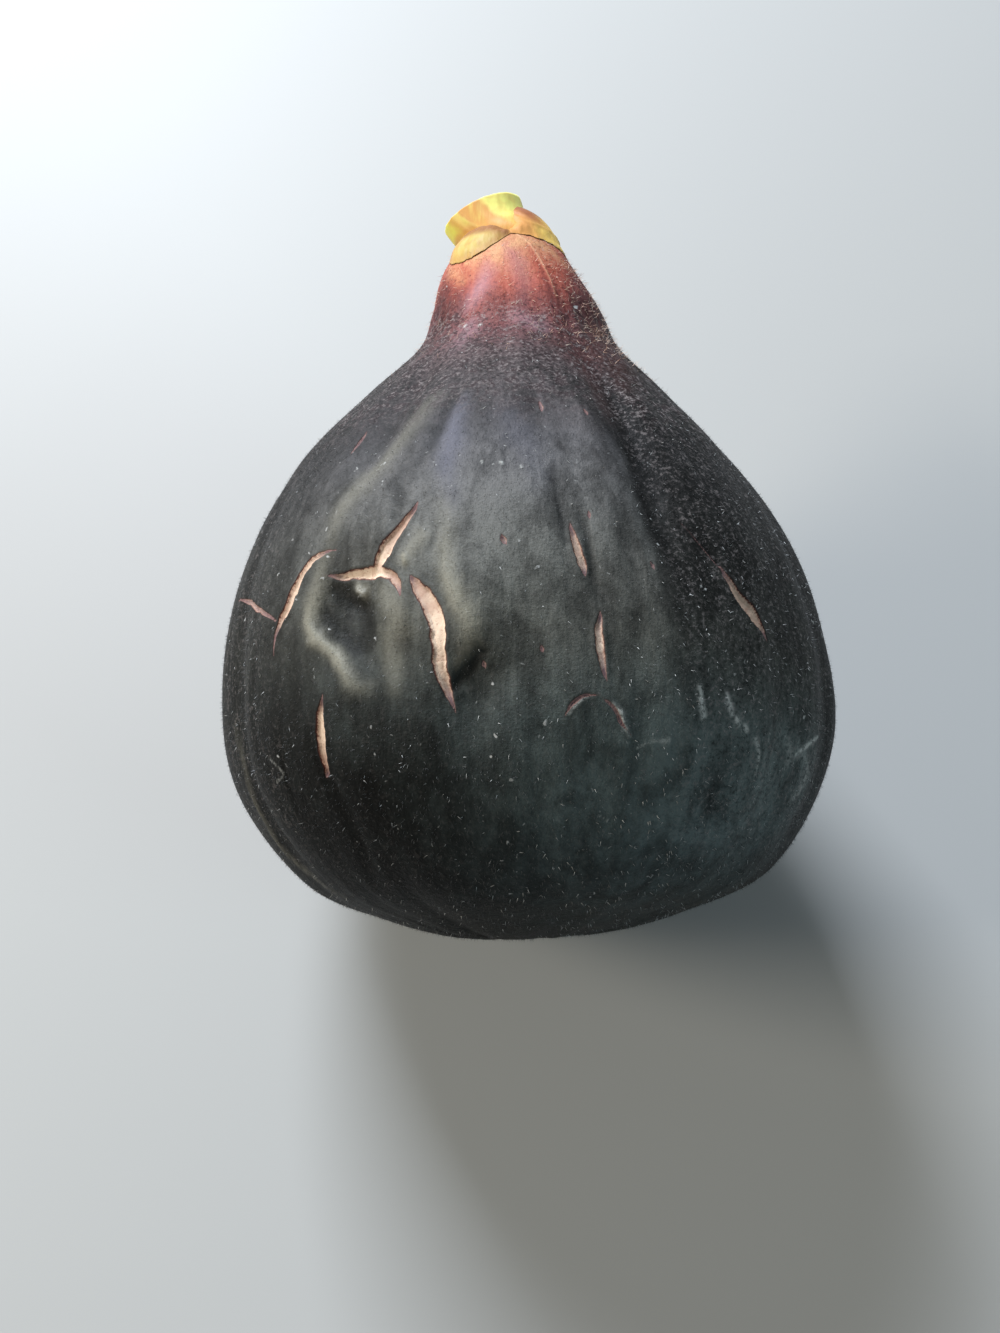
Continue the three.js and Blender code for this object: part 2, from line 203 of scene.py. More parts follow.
def furrow_relief(height, turn, radius):
    """How far the furrows between the ribs sink the skin, in mm, as a number below 0."""
    relief = np.zeros(np.shape(height))
    for place, first, last, depth in FURROWS:
        across = arc_between(turn, place, radius) / FURROW_WIDTH
        fade_out = 1 - smooth_step(last - FURROW_FADE, last, height)
        reach = smooth_step(first, first + FURROW_FADE, height) * fade_out
        relief -= depth * reach * np.exp(-across * across)
    return relief


def dent_relief(height, turn, radius):
    """How far the dent and the swellings round it move the skin, in mm."""
    relief = np.zeros(np.shape(height))
    for place, side, spread, rise in DENT_FORMS:
        up = (height - place) / spread
        across = arc_between(turn, side, radius) / spread
        relief += rise * np.exp(-up * up - across * across)
    return relief


def tipped_skin(share, turn):
    """The skin at shares of the outline and turns in degrees, in mm, before it is set down."""
    height, radius, side = np.moveaxis(along(FRUIT_RINGS, share), -1, 0)
    reach = radius + furrow_relief(height, turn, radius) + dent_relief(height, turn, radius)
    x = reach * np.sin(np.radians(turn)) + side
    up = ROUNDNESS * reach * np.cos(np.radians(turn))
    slant = EYE_SLANT * x * np.maximum(0, 1 - height / SLANT_REACH)
    return tip_back(x, up, height + slant)


print("in the dent the skin moves by", dent_relief(24.8, -30, 25.5).round(2), "mm")

# %% [markdown]
# ## Setting it down where the solid is
# The solid was made from the same rings, so the same coarse grid of points has the same box.
# Comparing the two boxes gives the move that lays this drawing exactly over the solid. Moving it
# by hand would drift off whenever a ring changes. What would then reach below the table is
# pressed flat, as the soft side of the real fruit is.

# %% Find the move and set points on the table
SOLID_ROWS = 56
SOLID_SIDES = 80
# small steps along and round the skin that give its outward direction
STEP_ALONG = 0.002
STEP_ROUND = 0.4
grid_share, grid_turn = np.meshgrid(
    np.arange(1, SOLID_ROWS + 1) / SOLID_ROWS,
    360 * np.arange(SOLID_SIDES) / SOLID_SIDES - 180,
)
drawn = tipped_skin(grid_share, grid_turn).reshape(-1, 3)
solid_low, solid_high = (np.array(corner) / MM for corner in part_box("fruit"))
move = solid_low - drawn.min(0)
move[2] = solid_high[2] - drawn[:, 2].max()


def set_down(points):
    """Own-frame points that lean back already, moved over the solid and pressed flat below."""
    placed = points + move
    placed[..., 2] = np.maximum(placed[..., 2], 0)
    return placed


def skin(share, turn):
    """The skin where it lies on the table, in mm."""
    return set_down(tipped_skin(share, turn))


def skin_normal(share, turn):
    """Outward directions of the skin, from a small step along it and one round it."""
    share = np.clip(share, STEP_ALONG, 1 - STEP_ALONG)
    step_up = skin(share + STEP_ALONG, turn) - skin(share - STEP_ALONG, turn)
    step_round = skin(share, turn + STEP_ROUND) - skin(share, turn - STEP_ROUND)
    outward = np.cross(step_round, step_up)
    return outward / np.maximum(np.linalg.norm(outward, axis=-1, keepdims=True), 1e-9)


print("the drawing moves by", move.round(2), "mm")

# %% [markdown]
# ## Camera
# The fig is looked at from near and well above, so the broad end looms and the neck runs away.
# The camera is set from the fig's axis: its distance, its pitch and a small move to the left
# and down that frames the fruit. A long lens from further off would give a flatter, rounder fig.

# %% Camera
CAMERA_PITCH = math.radians(63)
CAMERA_DISTANCE = 98
AIM_HEIGHT = 23
CAMERA_LEFT = 2.9
CAMERA_DOWN = 0.7
FOCAL_LENGTH = 29.9
SENSOR = 36
NEAREST_SEEN = 0.005


def put_in_scene(name, data):
    """A new object in the scene that shows a mesh, a light or a camera."""
    thing = bpy.data.objects.new(name, data)
    bpy.context.scene.collection.objects.link(thing)
    return thing


look = np.array([0, math.cos(CAMERA_PITCH), -math.sin(CAMERA_PITCH)])
down = np.array([0, -math.sin(CAMERA_PITCH), -math.cos(CAMERA_PITCH)])
right = np.array([1, 0, 0])
aim = tip_back(0, 0, AIM_HEIGHT) + move
eye_point = aim - CAMERA_DISTANCE * look - CAMERA_LEFT * right - CAMERA_DOWN * down

camera_data = bpy.data.cameras.new("camera")
camera_data.lens = FOCAL_LENGTH
camera_data.sensor_width = SENSOR
camera_data.clip_start = NEAREST_SEEN
camera = put_in_scene("camera", camera_data)
camera.matrix_world = Matrix.Translation(Vector(eye_point * MM)) @ Matrix(
    [(*row, 0) for row in np.stack([right, -down, -look], 1)] + [(0, 0, 0, 1)]
)
bpy.context.scene.camera = camera
print("camera at", (eye_point * MM).round(4))

# %% [markdown]
# ## Steady noise
# Nothing natural is even, so edges, streaks and hairs need random variation that is the same
# each run. A lattice of hashed numbers, blended smoothly between its corners, gives that for
# whole arrays at once, where Blender's own noise function takes one point at a time.

# %% Lattice noise
def lattice_value(x, y, z, seed):
    """A repeatable random number from -1 to 1 for each whole-number corner."""
    mixed = (x * 73856093) ^ (y * 19349663) ^ (z * 83492791) ^ (seed * 2654435761)
    mixed = (mixed ^ (mixed >> 13)) * 1274126177 & 0xFFFFFFFF
    mixed = (mixed ^ (mixed >> 16)) & 0xFFFF
    return mixed / 32767.5 - 1


def noise(x, y=0.0, z=0.0, seed=0):
    """Smooth noise from -1 to 1, one bump to a unit."""
    x, y, z = np.broadcast_arrays(*(np.asarray(axis, float) for axis in (x, y, z)))
    corner = [np.floor(axis).astype(np.int64) for axis in (x, y, z)]
    blend = [axis - whole for axis, whole in zip((x, y, z), corner)]
    blend = [share * share * (3 - 2 * share) for share in blend]
    total = np.zeros(x.shape)
    for dx in (0, 1):
        for dy in (0, 1):
            for dz in (0, 1):
                weight = np.ones(x.shape)
                for share, step in zip(blend, (dx, dy, dz)):
                    weight = weight * (share if step else 1 - share)
                total += weight * lattice_value(corner[0] + dx, corner[1] + dy, corner[2] + dz, seed)
    return total


sample = noise(np.arange(0, 50, 0.37), 0.5).round(2)
print("noise spreads over", sample.min(), "to", sample.max())

# %% [markdown]
# ## Splits in the skin
# Ripe figs swell until the skin tears, mostly along the ribs. Each split is a path of height,
# turn and width. It is drawn as a smooth curve on the skin, with a width that wavers on both
# sides, because skin tears in small jags. Wedges cut out with a Boolean modifier would leave
# straight clean walls. Instead, every point of the fine skin looks up how far it is from the
# nearest split edge: inside it sinks, at the edge it curls up a little.

# %% The splits
# height, turn, width
SPLITS = [
    # the stem and the two arms of the forked split
    [(31.9, -18.5, 0.10), (31.1, -19.6, 0.46), (30.3, -20.9, 0.68), (29.3, -22.5, 0.88),
     (28.4, -23.8, 0.94), (27.6, -24.8, 0.90), (26.9, -25.4, 0.70)],
    [(27.1, -35.2, 0.08), (26.95, -32.6, 0.50), (27.0, -30.0, 0.76), (26.95, -27.6, 0.82),
     (26.95, -25.6, 0.85), (26.75, -23.8, 0.70), (26.3, -22.1, 0.62), (25.7, -21.0, 0.50),
     (24.9, -20.3, 0.10)],
    # the long wide one beside it
    [(26.4, -18.9, 0.08), (25.9, -18.2, 0.50), (25.3, -17.3, 0.84), (24.4, -15.9, 1.06),
     (23.1, -14.5, 1.26), (22.0, -14.0, 1.14), (21.0, -14.1, 1.00), (19.9, -14.1, 0.90),
     (18.9, -13.6, 0.70), (17.9, -12.9, 0.42), (16.9, -12.2, 0.08)],
    # the left flank, with its branch, and the short one below
    [(29.0, -33.5, 0.08), (28.8, -36.0, 0.38), (28.5, -38.3, 0.58), (27.6, -40.3, 0.76),
     (26.4, -41.8, 0.90), (25.2, -43.2, 0.84), (24.3, -44.6, 0.60), (23.2, -45.8, 0.28),
     (21.8, -46.0, 0.08)],
    [(27.7, -68.0, 0.15), (27.2, -62.5, 0.38), (26.5, -57.5, 0.42), (25.6, -52.5, 0.40),
     (24.9, -48.6, 0.28), (24.4, -46.0, 0.15)],
    [(18.6, -34.2, 0.08), (17.8, -34.5, 0.45), (16.8, -35.2, 0.70), (15.7, -35.5, 0.86),
     (14.8, -35.9, 0.80), (13.9, -36.2, 0.68), (13.4, -36.5, 0.46), (13.0, -36.9, 0.08)],
    # right of the middle
    [(29.9, 6.5, 0.08), (28.9, 7.0, 0.46), (27.8, 7.6, 0.60), (26.8, 8.0, 0.50),
     (26.0, 8.4, 0.08)],
    [(23.6, 10.0, 0.08), (22.8, 9.8, 0.38), (21.8, 9.5, 0.50), (20.8, 9.4, 0.52),
     (19.8, 9.8, 0.40), (18.8, 10.2, 0.08)],
    # right flank
    [(27.7, 32.7, 0.08), (26.9, 33.4, 0.42), (26.1, 34.5, 0.66), (25.3, 36.0, 0.94),
     (24.5, 37.6, 0.94), (23.6, 39.1, 0.72), (23.0, 40.0, 0.40), (22.4, 40.6, 0.08)],
]
# Hairline tears and pricks that only the fine skin shows.
FINE_SPLITS = [
    # two that bow towards each other, and one that runs into the split on the right flank
    [(16.4, 3.8, 0.06), (17.2, 5.2, 0.27), (17.8, 7.0, 0.22), (17.95, 9.2, 0.07)],
    [(17.6, 9.6, 0.05), (17.3, 10.6, 0.22), (16.8, 11.8, 0.30), (16.1, 12.3, 0.26),
     (15.2, 13.9, 0.05)],
    [(30.8, 27.4, 0.06), (29.7, 29.2, 0.11), (28.6, 31.0, 0.14), (27.6, 32.6, 0.14)],
    # short pricks
    [(39.6, -36.8, 0.06), (38.6, -37.0, 0.30), (37.5, -37.8, 0.06)],
    [(40.9, 4.2, 0.08), (40.3, 4.3, 0.32), (39.8, 4.3, 0.08)],
    [(40.2, 13.9, 0.06), (39.9, 14.1, 0.24), (39.6, 14.3, 0.06)],
    [(28.9, -4.4, 0.06), (28.5, -4.0, 0.38), (28.1, -3.6, 0.06)],
    [(21.2, 1.0, 0.06), (20.9, 1.1, 0.30), (20.7, 1.2, 0.06)],
    [(30.9, 10.0, 0.06), (30.6, 10.1, 0.26), (30.3, 10.2, 0.06)],
    [(27.3, 19.1, 0.06), (27.0, 19.3, 0.28), (26.7, 19.5, 0.06)],
    [(20.25, -7.8, 0.06), (20.0, -7.7, 0.34), (19.75, -7.6, 0.06)],
    # three round the back
    [(27.1, 96, 0.05), (24.6, 99, 0.45), (21.8, 98, 0.6), (18.9, 101, 0.05)],
    [(33.5, -112, 0.05), (31.2, -110, 0.5), (28.6, -113, 0.4), (26.9, -112, 0.05)],
    [(17.2, 128, 0.05), (15.0, 131, 0.5), (12.4, 130, 0.05)],
]
print(len(SPLITS), "paths of wide splits and", len(FINE_SPLITS), "of fine ones")

# %% Draw the splits on the skin
SPLIT_STEP = 0.1
LEAST_WIDTH = 0.04


def draw_split(path, number):
    """A split as a fine line on the skin, with its normals, length along it and half widths."""
    rows = np.array(path)
    rough = skin(fruit_share(rows[:, 0]), rows[:, 1])
    length = np.linalg.norm(np.diff(rough, axis=0), axis=1).sum()
    share = np.linspace(0, 1, max(8, int(length / SPLIT_STEP)))
    height, turn, width = np.moveaxis(along(rows, share), -1, 0)
    reach = share * length
    height = height + 0.06 * noise(reach / 0.9, number, seed=3)
    turn = turn + 0.14 * noise(reach / 0.8, number, seed=4)
    places = fruit_share(height)
    points = skin(places, turn)
    outward = skin_normal(places, turn)
    ahead = np.gradient(points, axis=0)
    across = np.cross(outward, ahead)
    across /= np.linalg.norm(across, axis=1, keepdims=True)
    width = np.maximum(width, LEAST_WIDTH)
    jag = 0.17 * np.stack([noise(reach / 0.60, number, side, seed=5) for side in (0.0, 7.0)], 1)
    jag += 0.11 * np.stack([noise(reach / 0.25, number, side, seed=6) for side in (0.0, 7.0)], 1)
    return {
        "points": points,
        "across": across,
        "reach": reach + 10 * number,
        "half": width[:, None] / 2 * (1 + jag),
        "width": width,
    }


splits = [draw_split(path, number) for number, path in enumerate(SPLITS + FINE_SPLITS)]
split_points = sum(len(split["points"]) for split in splits)
print(len(splits), "splits,", round(split_points * SPLIT_STEP), "mm long in all")

# %% [markdown]
# ## How far the nearest split is
# A split has to be found from any point of the skin. Blender's KD tree could do it one point at
# a time. Here it is a table of distances, one split at a time, for the few points near it. The
# result is kept in four numbers for each point: how far it is outside the torn edge, where it
# lies across and along the split, and how wide the split is.

# %% Nearest split of every point
FAR = 3.0


def nearest_split(points):
    """Distance outside the nearest split's edge in mm, place across it, along it, and its width."""
    found = {
        "edge": np.full(len(points), FAR),
        "across": np.zeros(len(points)),
        "reach": np.zeros(len(points)),
        "width": np.zeros(len(points)),
    }
    for split in splits:
        low, high = split["points"].min(0) - FAR, split["points"].max(0) + FAR
        near = np.flatnonzero(np.all((points > low) & (points < high), axis=1))
        if not len(near):
            continue
        apart = points[near][:, None] - split["points"][None]
        square = np.einsum("ijk,ijk->ij", apart, apart)
        closest = square.argmin(1)
        rows = np.arange(len(near))
        distance = np.sqrt(square[rows, closest])
        offset = np.einsum("ij,ij->i", apart[rows, closest], split["across"][closest])
        half = split["half"][closest, (offset > 0).astype(int)]
        edge = distance - half
        better = edge < found["edge"][near]
        target = near[better]
        found["edge"][target] = edge[better]
        found["across"][target] = (offset / half)[better]
        found["reach"][target] = split["reach"][closest][better]
        found["width"][target] = split["width"][closest][better]
    return found


print("a split is felt up to", FAR, "mm away")

# %% [markdown]
# ## Soft strokes
# The painted highlight on the swellings round the dent, the painted lilac highlight on the
# shoulders and the painted shade of the furrows are long soft marks. Each is a short path of
# height, turn, width in mm and strength, as a stroke of a soft brush would be. The paint reads all
# of them. Some serve twice: the fine relief rises a little under the shiny ones and the scuffs,
# and sinks under the dark ones. A painted picture of the skin could hold such marks too, but
# strokes keep a size and a place that can be read and changed.

# %% Strokes of painted highlight, and of bloom with painted sheen
# height, turn, width, strength
SHINE_STROKES = [
    # painted highlights, partly on rubbed skin: the left shoulder and the ridge right of the wide split
    [(42.0, -21, 0.9, 0.2), (39.0, -24, 1.0, 0.3), (36.4, -27, 1.0, 0.35), (34.0, -31, 1.0, 0.4),
     (32.1, -34, 0.9, 0.4), (29.8, -35, 0.8, 0.2)],
    [(33.5, -14, 0.7, 0.2), (30.1, -13.5, 0.6, 0.3), (28.4, -13.5, 0.6, 0.5),
     (26.2, -12.5, 0.6, 0.7), (24.3, -10.9, 0.7, 0.9), (22.8, -9.2, 0.7, 0.9),
     (21.4, -9.4, 0.6, 0.7), (20.2, -11.0, 0.5, 0.3)],
    # a painted highlight on a thin ridge down the left limb
    [(17.5, -66, 0.3, 0.2), (15.0, -65, 0.3, 0.35), (11.3, -66, 0.3, 0.4), (8.2, -67, 0.3, 0.4),
     (5.8, -62, 0.3, 0.3), (4.8, -56, 0.3, 0.2)],
]
# Painted highlights, partly on rubbed skin: the rim of the dent, two spots rubbed pale beside it, and
# the soft shine between the splits.
DENT_STROKES = [
    [(28.6, -35.6, 0.7, 0.3), (26.2, -36.4, 0.7, 0.55), (24.0, -37.4, 0.65, 0.85),
     (22.6, -35.6, 0.6, 1.0), (21.3, -32.1, 0.55, 1.0), (20.0, -30.1, 0.55, 0.75),
     (19.1, -28.4, 0.6, 0.5), (18.8, -26.8, 0.6, 0.3)],
    [(25.9, -29.3, 0.42, 1.0), (25.7, -28.6, 0.42, 1.0)],
    [(27.8, -20.1, 0.34, 0.9), (27.4, -19.8, 0.34, 0.9)],
    [(25.4, -23.4, 0.9, 0.35), (23.6, -21.0, 1.2, 0.45), (21.9, -22.6, 0.9, 0.35),
     (20.5, -22.0, 0.8, 0.35), (18.6, -21.6, 0.7, 0.2)],
    [(29.2, -17.2, 0.7, 0.4), (27.8, -20, 0.6, 0.5)],
]
# Bloom that lies thicker along faint ribs, in part a painted sheen, and in clouds low on the right that
# are in part a painted teal reflection.
HAZE_AND_SHEEN_STROKES = [
    [(43.4, 5, 1.0, 0.4), (41.0, 8, 1.4, 0.7), (37.8, 11, 1.5, 0.9), (35.0, 13, 1.3, 0.7),
     (31.8, 14, 1.0, 0.4)],
    [(35.8, -4, 1.0, 0.3), (31.5, -4, 1.1, 0.5), (28.5, -5, 1.1, 0.5), (25.6, -4, 0.9, 0.3)],
    [(36.7, 6, 0.8, 0.3), (34.1, 9, 0.8, 0.5), (31.7, 10.5, 0.7, 0.5), (28.6, 11.5, 0.7, 0.4)],
    [(39.1, 16, 0.9, 0.4), (34.5, 17.5, 1.0, 0.7), (31.2, 17.5, 1.1, 0.8), (27.4, 18, 1.1, 0.8),
     (24.5, 19, 1.1, 0.6), (21.7, 20, 0.9, 0.4)],
    [(21.5, 18, 1.4, 0.4), (18.5, 19, 1.6, 0.5), (16.5, 19, 1.4, 0.4)],
    [(14.2, 14, 1.3, 0.5), (13.8, 19, 1.5, 0.6), (11.5, 22, 1.4, 0.4), (8.6, 21, 1.1, 0.5)],
    [(17.0, 23, 1.2, 0.6), (15.0, 24, 1.5, 1.0), (13.4, 26, 1.3, 1.0), (14.4, 31, 1.2, 0.8)],
    [(13.8, 18, 1.3, 0.8), (12.3, 10, 1.4, 0.7), (10.0, 3, 1.2, 0.6)],
    [(8.4, 26, 1.0, 0.5), (8.8, 31, 1.3, 0.9), (9.5, 34, 1.0, 0.5)],
    [(15.4, 47, 0.8, 0.4), (14.2, 52, 0.9, 0.8), (12.4, 54, 0.9, 0.7)],
    [(19.5, -37, 1.1, 0.3), (16.5, -31, 1.2, 0.4), (14.5, -29, 1.0, 0.3)],
]
print(len(SHINE_STROKES + DENT_STROKES), "shiny and", len(HAZE_AND_SHEEN_STROKES), "smoky strokes")

# %% Scuffs, painted glints and the vein
# Scuffs and scratches where the skin was rubbed pale, most of them low on the right.
SCUFF_AND_GLINT_STROKES = [
    [(25.9, -29.4, 0.28, 1.0), (25.7, -28.8, 0.28, 1.0)],
    [(18.7, 25.2, 0.18, 0.7), (17.6, 25.5, 0.26, 1.0), (16.5, 26.0, 0.20, 1.0)],
    [(18.2, 30.6, 0.16, 0.7), (17.4, 31.2, 0.20, 1.0), (16.8, 31.6, 0.16, 0.8)],
    [(16.5, 32.6, 0.20, 1.0), (16.2, 32.9, 0.20, 1.0)],
    [(16.0, 34.4, 0.20, 1.0), (15.8, 34.8, 0.18, 1.0)],
    [(14.3, 49.6, 0.12, 0.9), (15.2, 53.2, 0.24, 1.0), (15.9, 57.5, 0.14, 0.9)],
    [(14.9, 50.0, 0.4, 0.15), (13.6, 54.5, 0.5, 0.3), (12.2, 55.5, 0.5, 0.4),
     (11.2, 53.5, 0.4, 0.2)],
    [(15.4, 46.5, 0.3, 0.2), (14.4, 48.2, 0.45, 0.3), (13.4, 47.8, 0.3, 0.2)],
    [(15.2, 37.0, 0.15, 0.7), (14.2, 38.2, 0.14, 0.9), (12.8, 38.4, 0.10, 0.6)],
    [(14.4, 15.2, 0.08, 0.5), (14.8, 17.5, 0.08, 0.4), (14.9, 20.0, 0.20, 0.5)],
    [(9.9, 9.5, 0.06, 0.7), (9.6, 11.0, 0.06, 0.9)],
    [(14.7, -49.5, 0.07, 0.9), (13.6, -46.9, 0.06, 0.7), (13.1, -49.6, 0.07, 0.8)],
    # pale skin beside the bowed hairline tears
    [(16.6, 4.6, 0.10, 0.3), (17.4, 6.2, 0.12, 0.4), (17.8, 7.6, 0.10, 0.3)],
    [(17.2, 11.2, 0.14, 0.8), (16.7, 12.4, 0.16, 1.0), (15.9, 12.8, 0.14, 0.9),
     (15.2, 13.9, 0.10, 0.6)],
    # painted glints, as small pale beads, on the foot of the neck and on the shoulders
    [(51.9, -29.9, 0.16, 1.0), (51.8, -29.8, 0.16, 1.0)],
    [(51.5, -20.6, 0.16, 1.0), (51.4, -20.5, 0.16, 1.0)],
    [(35.0, -7.8, 0.07, 0.9), (34.9, -7.6, 0.07, 0.9)],
    [(34.9, -4.3, 0.10, 1.0), (34.8, -4.0, 0.10, 1.0)],
    [(34.5, -0.8, 0.08, 0.9), (34.4, -0.6, 0.08, 0.9)],
    [(34.7, 9.3, 0.08, 0.9), (34.6, 9.5, 0.08, 0.9)],
]
# One pale vein down the neck.
NECK_VEIN = [
    (62.4, 4, 0.11, 1.0), (61.6, 12, 0.12, 1.0), (60.9, 17.3, 0.13, 1.0), (59.5, 21.0, 0.12, 0.9),
    (57.9, 21.8, 0.11, 0.8), (56.5, 21.7, 0.10, 0.6), (54.8, 21.7, 0.08, 0.4),
]
print(len(SCUFF_AND_GLINT_STROKES), "scuffs and beads, and a vein of", len(NECK_VEIN), "points")

# %% Peach and lilac strokes
# Unripe patches under the bracts.
PEACH_STROKES = [
    [(60.0, -58, 0.5, 0.4), (59.2, -52, 0.6, 0.6), (58.3, -45, 0.6, 0.6), (57.2, -38, 0.5, 0.4)],
    [(59.2, -36, 0.35, 0.9), (59.3, -28, 0.4, 0.8), (60.0, -21, 0.5, 0.8), (60.2, -12, 0.7, 1.0),
     (59.0, -12, 0.5, 0.7)],
    [(60.4, -1, 0.5, 0.6), (60.8, 3, 0.6, 1.0), (61.3, 12, 0.6, 1.0), (61.2, 22, 0.6, 0.9),
     (60.8, 34, 0.7, 0.8), (59.5, 50, 0.6, 0.4)],
    [(52.0, 45, 0.7, 0.4), (50.8, 47, 0.6, 0.5)],
]
# Painted lilac highlights where the neck and the shoulders catch the light.
LILAC_STROKES = [
    [(41.5, -13.5, 0.6, 0.5), (40.0, -14, 0.8, 0.9), (37.1, -14, 0.9, 1.0), (34.3, -14, 0.8, 0.8),
     (31.8, -12.5, 0.7, 0.4)],
    [(39.5, -3, 1.2, 0.3), (37.7, -1, 1.3, 0.4), (35.8, 1, 1.2, 0.35), (33.1, 2, 1.0, 0.2)],
    [(58.6, -19, 0.6, 0.3), (56.9, -22, 0.9, 0.65), (55.5, -27, 1.0, 0.75), (54.2, -31, 0.9, 0.5)],
    [(52.0, -27, 1.0, 0.45), (50.2, -25, 1.0, 0.4), (48.4, -24, 0.9, 0.2)],
    [(60.6, -2, 0.6, 0.3), (58.9, 3, 0.8, 0.4), (56.5, 4, 0.9, 0.35), (54.0, 3, 0.8, 0.2)],
    [(52.4, -3, 0.9, 0.3), (51.7, 4, 1.1, 0.55), (50.8, 10, 0.9, 0.4)],
]
print(len(PEACH_STROKES), "peach and", len(LILAC_STROKES), "lilac strokes")

# %% Dark and maroon strokes
# Painted shade in furrows, hollows and grooves, darkened towards black.
SHADE_STROKES = [
    # beside the lilac rib, and above the two splits right of the middle
    [(42.0, -15.8, 0.4, 0.4), (41.2, -16, 0.5, 0.7), (37.7, -17.5, 0.5, 0.7), (34.6, -20, 0.5, 0.4)],
    [(34.0, 5, 0.3, 0.3), (33.2, 5, 0.35, 0.7), (30.8, 5.3, 0.35, 0.7), (28.5, 6, 0.3, 0.3)],
    [(30.5, 9, 0.3, 0.4), (28.3, 9.3, 0.35, 0.7), (25.5, 9.7, 0.5, 0.7), (24.6, 10.6, 0.5, 0.4)],
    # the furrow on the right, which widens into a dark hollow
    [(46.0, 26, 0.5, 0.4), (44.2, 26, 0.7, 0.7), (38.4, 23.3, 0.9, 0.9), (33.8, 21.8, 0.9, 0.9),
     (30.5, 22, 1.0, 1.0), (27.5, 23.5, 1.2, 0.9), (25.0, 26, 1.4, 0.6)],
    [(34.0, 31, 1.6, 0.4), (30.0, 29, 1.8, 0.6), (27.0, 28, 1.6, 0.6)],
    [(32.0, 26.5, 0.3, 0.4), (30.8, 28, 0.3, 0.9), (29.4, 30, 0.3, 0.7)],
    # hollows of the dent and beside it
    [(25.9, -33.0, 0.6, 0.7), (25.2, -31, 0.8, 1.0), (24.6, -29, 0.8, 1.0), (23.6, -27.6, 0.8, 0.9),
     (22.2, -26.4, 0.6, 0.5)],
    [(23.9, -34.0, 0.9, 0.5), (22.9, -31.5, 1.0, 0.7), (21.9, -28.5, 1.0, 0.7),
     (20.9, -26.0, 0.8, 0.4)],
    [(20.9, -7.5, 0.8, 0.8), (19.7, -9.8, 0.7, 1.0), (18.5, -12.3, 0.5, 0.8)],
    [(22.8, -6, 0.8, 0.6), (22.2, -1.5, 0.7, 0.4)],
    [(19.6, -6.2, 1.4, 0.5), (18.6, -8.0, 1.5, 0.6), (17.4, -10.0, 1.2, 0.4)],
    # the dark left flank
    [(27.5, -56, 1.6, 0.3), (22.0, -50, 2.0, 0.35), (17.0, -48, 2.2, 0.35), (11.0, -48, 2.0, 0.3)],
    [(24.0, -66, 1.5, 0.3), (16.0, -64, 1.8, 0.4), (9.0, -62, 1.5, 0.3)],
    # grooves low on the left flank
    [(16.1, -38.7, 0.35, 0.5), (13.9, -37.1, 0.5, 0.9), (12.3, -35.7, 0.5, 0.9),
     (10.6, -34.5, 0.5, 0.8), (8.2, -35.4, 0.5, 0.8), (5.6, -39, 0.4, 0.5)],
    [(22.5, -41, 0.5, 0.4), (19.0, -40, 0.5, 0.6), (16.5, -40, 0.4, 0.4)],
    [(18.6, -44, 0.4, 0.4), (14.5, -46, 0.45, 0.7), (11.0, -47, 0.4, 0.5)],
    [(23.1, -53, 0.4, 0.5), (18.9, -53, 0.4, 0.7), (14.7, -53, 0.4, 0.5)],
    [(20.0, -60, 0.35, 0.5), (15.0, -60.5, 0.35, 0.8), (9.0, -61, 0.35, 0.8), (6.0, -57, 0.3, 0.4)],
    # above the split on the right flank, and a dark patch low on the right
    [(30.2, 29.2, 0.25, 0.5), (29.0, 31.0, 0.3, 1.0), (27.9, 32.6, 0.25, 1.0)],
    [(12.2, 30.5, 0.5, 0.5), (10.6, 30.0, 0.6, 0.9), (9.9, 33.0, 0.5, 0.8), (9.8, 36.0, 0.3, 0.5)],
]
# Both sides of the neck, and the furrow below it, stay dark red.
MAROON_STROKES = [
    [(60.5, 62, 0.9, 0.3), (57.5, 58, 1.5, 0.7), (54.0, 52, 1.8, 0.9), (50.5, 44, 1.9, 0.95),
     (47.0, 36, 1.6, 0.8), (44.0, 30, 1.2, 0.5)],
    [(54.0, 42, 1.4, 0.8), (51.0, 35, 1.8, 1.0), (48.0, 27, 1.8, 1.0), (45.0, 22, 1.4, 0.8)],
    [(54.0, 27, 0.9, 0.3), (51.5, 21, 1.2, 0.7), (49.2, 16, 1.4, 0.9), (47.2, 20, 1.4, 0.9),
     (45.0, 22, 1.3, 0.8), (42.5, 21, 1.1, 0.6), (40.0, 20.5, 0.9, 0.3)],
    [(58.0, -72, 0.9, 0.5), (56.0, -58, 1.4, 0.8), (53.5, -52, 1.6, 0.9), (51.0, -46, 1.6, 0.6),
     (48.5, -42, 1.3, 0.3)],
]
print(len(SHADE_STROKES), "dark and", len(MAROON_STROKES), "maroon strokes")

